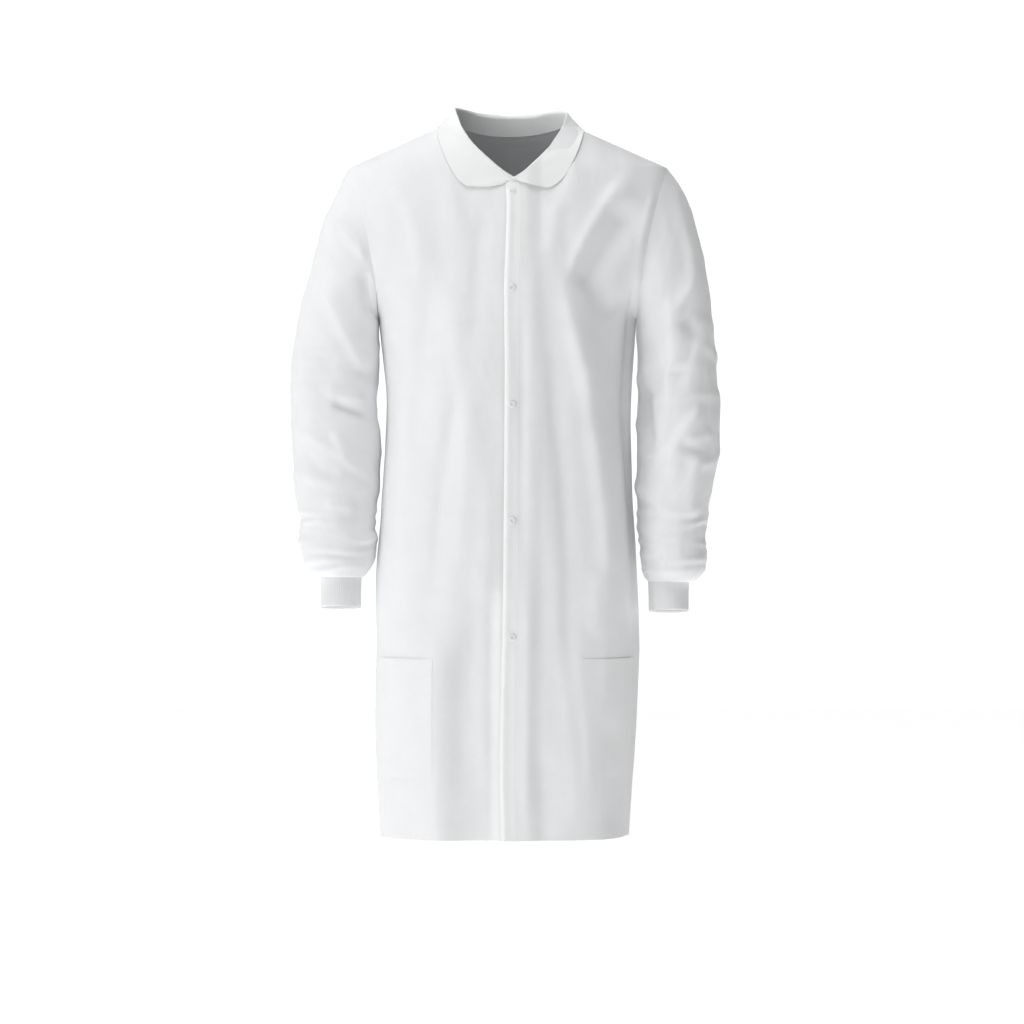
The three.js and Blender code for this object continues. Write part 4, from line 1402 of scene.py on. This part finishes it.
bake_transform(right_front)
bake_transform(right_collar)
for piece, side, arm in ((left_sleeve, 1, "left_arm"), (right_sleeve, -1, "right_arm")):
    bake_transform(piece)
for piece in (back, tape, left_pocket, right_pocket):
    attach(piece, "coat_body")
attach(left_cuff, "left_arm")
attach(right_cuff, "right_arm")
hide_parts("back_panel")
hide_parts("left_front_side", "left_front_flap")
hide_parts("right_front_side", "right_front_flap")
for piece in (left_collar, right_collar):
    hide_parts("collar_upper_ply", "collar_under_ply")
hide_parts("neck_tape")
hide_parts("left_sleeve")
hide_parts("right_sleeve")
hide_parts("left_cuff")
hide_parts("right_cuff")
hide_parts("left_hip_pocket")
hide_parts("right_hip_pocket")

# %% [markdown]
# Each piece of cloth was laid with the size it was cut to, which sets the scale of its UV map.

# %% [markdown]
# ## Floor, light and camera
#
# A plain white studio: a large key light to the left and in front, so that folds which face right
# fall into soft shade, and white walls all round. The coat hangs clear of the floor. A long lens,
# level with the middle of the coat, keeps its sides parallel.

# %% Floor and white surround
def make_floor():
    bm = bmesh.new()
    bmesh.ops.create_grid(bm, x_segments=4, y_segments=4, size=12.0)
    bmesh.ops.translate(bm, verts=bm.verts, vec=(0, 0, -1.40))
    mesh = bpy.data.meshes.new("studio_floor")
    bm.to_mesh(mesh)
    bm.free()
    floor = bpy.data.objects.new("studio_floor", mesh)
    bpy.context.scene.collection.objects.link(floor)
    material, tree = new_material("painted_studio_floor")
    place = add_node(tree, "TexCoord").outputs["Object"]
    grain = add_node(tree, "TexNoise", {"Scale": 3.0}, {"Vector": place})
    tone = add_node(
        tree, "Mix", {"A": colour("#F6F6F6"), "B": colour("#FAFAFA")},
        {"Factor": grain.outputs["Fac"]}, data_type="RGBA",
    )
    shader = add_node(
        tree, "BsdfPrincipled",
        {"Roughness": 0.9, "Emission Color": (1, 1, 1, 1), "Emission Strength": 0.76},
        {"Base Color": tone.outputs["Result"]},
    )
    add_node(tree, "OutputMaterial", links={"Surface": shader.outputs["BSDF"]})
    mesh.materials.append(material)
    floor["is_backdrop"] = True
    return floor


floor = make_floor()


def make_surround():
    """White walls: full white to the eye, and a softer light on the coat."""
    world = bpy.data.worlds.new("white_studio")
    bpy.context.scene.world = world
    world.use_nodes = True
    tree = world.node_tree
    tree.nodes.clear()
    path = add_node(tree, "LightPath")
    way = add_node(tree, "TexCoord")
    sides = add_node(tree, "SeparateXYZ", links={"Vector": way.outputs["Generated"]})
    dimmed = add_node(
        tree, "MapRange",
        {"From Min": -1.0, "From Max": 0.6, "To Min": WALL_LEFT, "To Max": WALL_RIGHT},
        {"Value": sides.outputs["X"]},
    )
    level = add_node(
        tree, "Mix", {"B": 1.1},
        {"Factor": path.outputs["Is Camera Ray"], "A": dimmed.outputs["Result"]}, data_type="FLOAT",
    )
    background = add_node(
        tree, "Background", {"Color": (1, 1, 1, 1)}, {"Strength": level.outputs["Result"]},
    )
    add_node(tree, "OutputWorld", links={"Surface": background.outputs["Background"]})


WALL_LEFT = 0.62
WALL_RIGHT = 0.0
make_surround()


# %% Lights
def area_light(name, place, aim, size, power, tint="#FFFFFF"):
    data = bpy.data.lights.new(name, "AREA")
    data.shape = "SQUARE"
    data.size = size
    data.energy = power
    data.color = colour(tint)[:3]
    light = bpy.data.objects.new(name, data)
    bpy.context.scene.collection.objects.link(light)
    light.location = place
    way = mathutils.Vector(aim) - mathutils.Vector(place)
    light.rotation_euler = way.to_track_quat("-Z", "Y").to_euler()
    return light


area_light("key", (-3.9, -2.7, 0.6), (0.0, 0.0, -0.5), 1.8, 34.0)
area_light("top", (-0.3, -0.7, 2.7), (0.0, 0.0, -0.3), 1.6, 58.0)
area_light("back_fill", (1.5, 3.6, 0.6), (0.0, 0.0, -0.5), 2.4, 20.0)

# %% Camera
camera_data = bpy.data.cameras.new("studio_camera")
camera_data.lens = 147.5
camera_data.sensor_width = 36.0
camera = bpy.data.objects.new("studio_camera", camera_data)
bpy.context.scene.collection.objects.link(camera)
camera.location = (0.0057, -6.0, -0.5577)
camera.rotation_euler = (math.pi / 2, 0.0, 0.0)
bpy.context.scene.camera = camera
bpy.context.scene.view_settings.view_transform = "Standard"
bpy.context.scene.view_settings.look = "None"

# %% Bounds of the shown pieces
low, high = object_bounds()
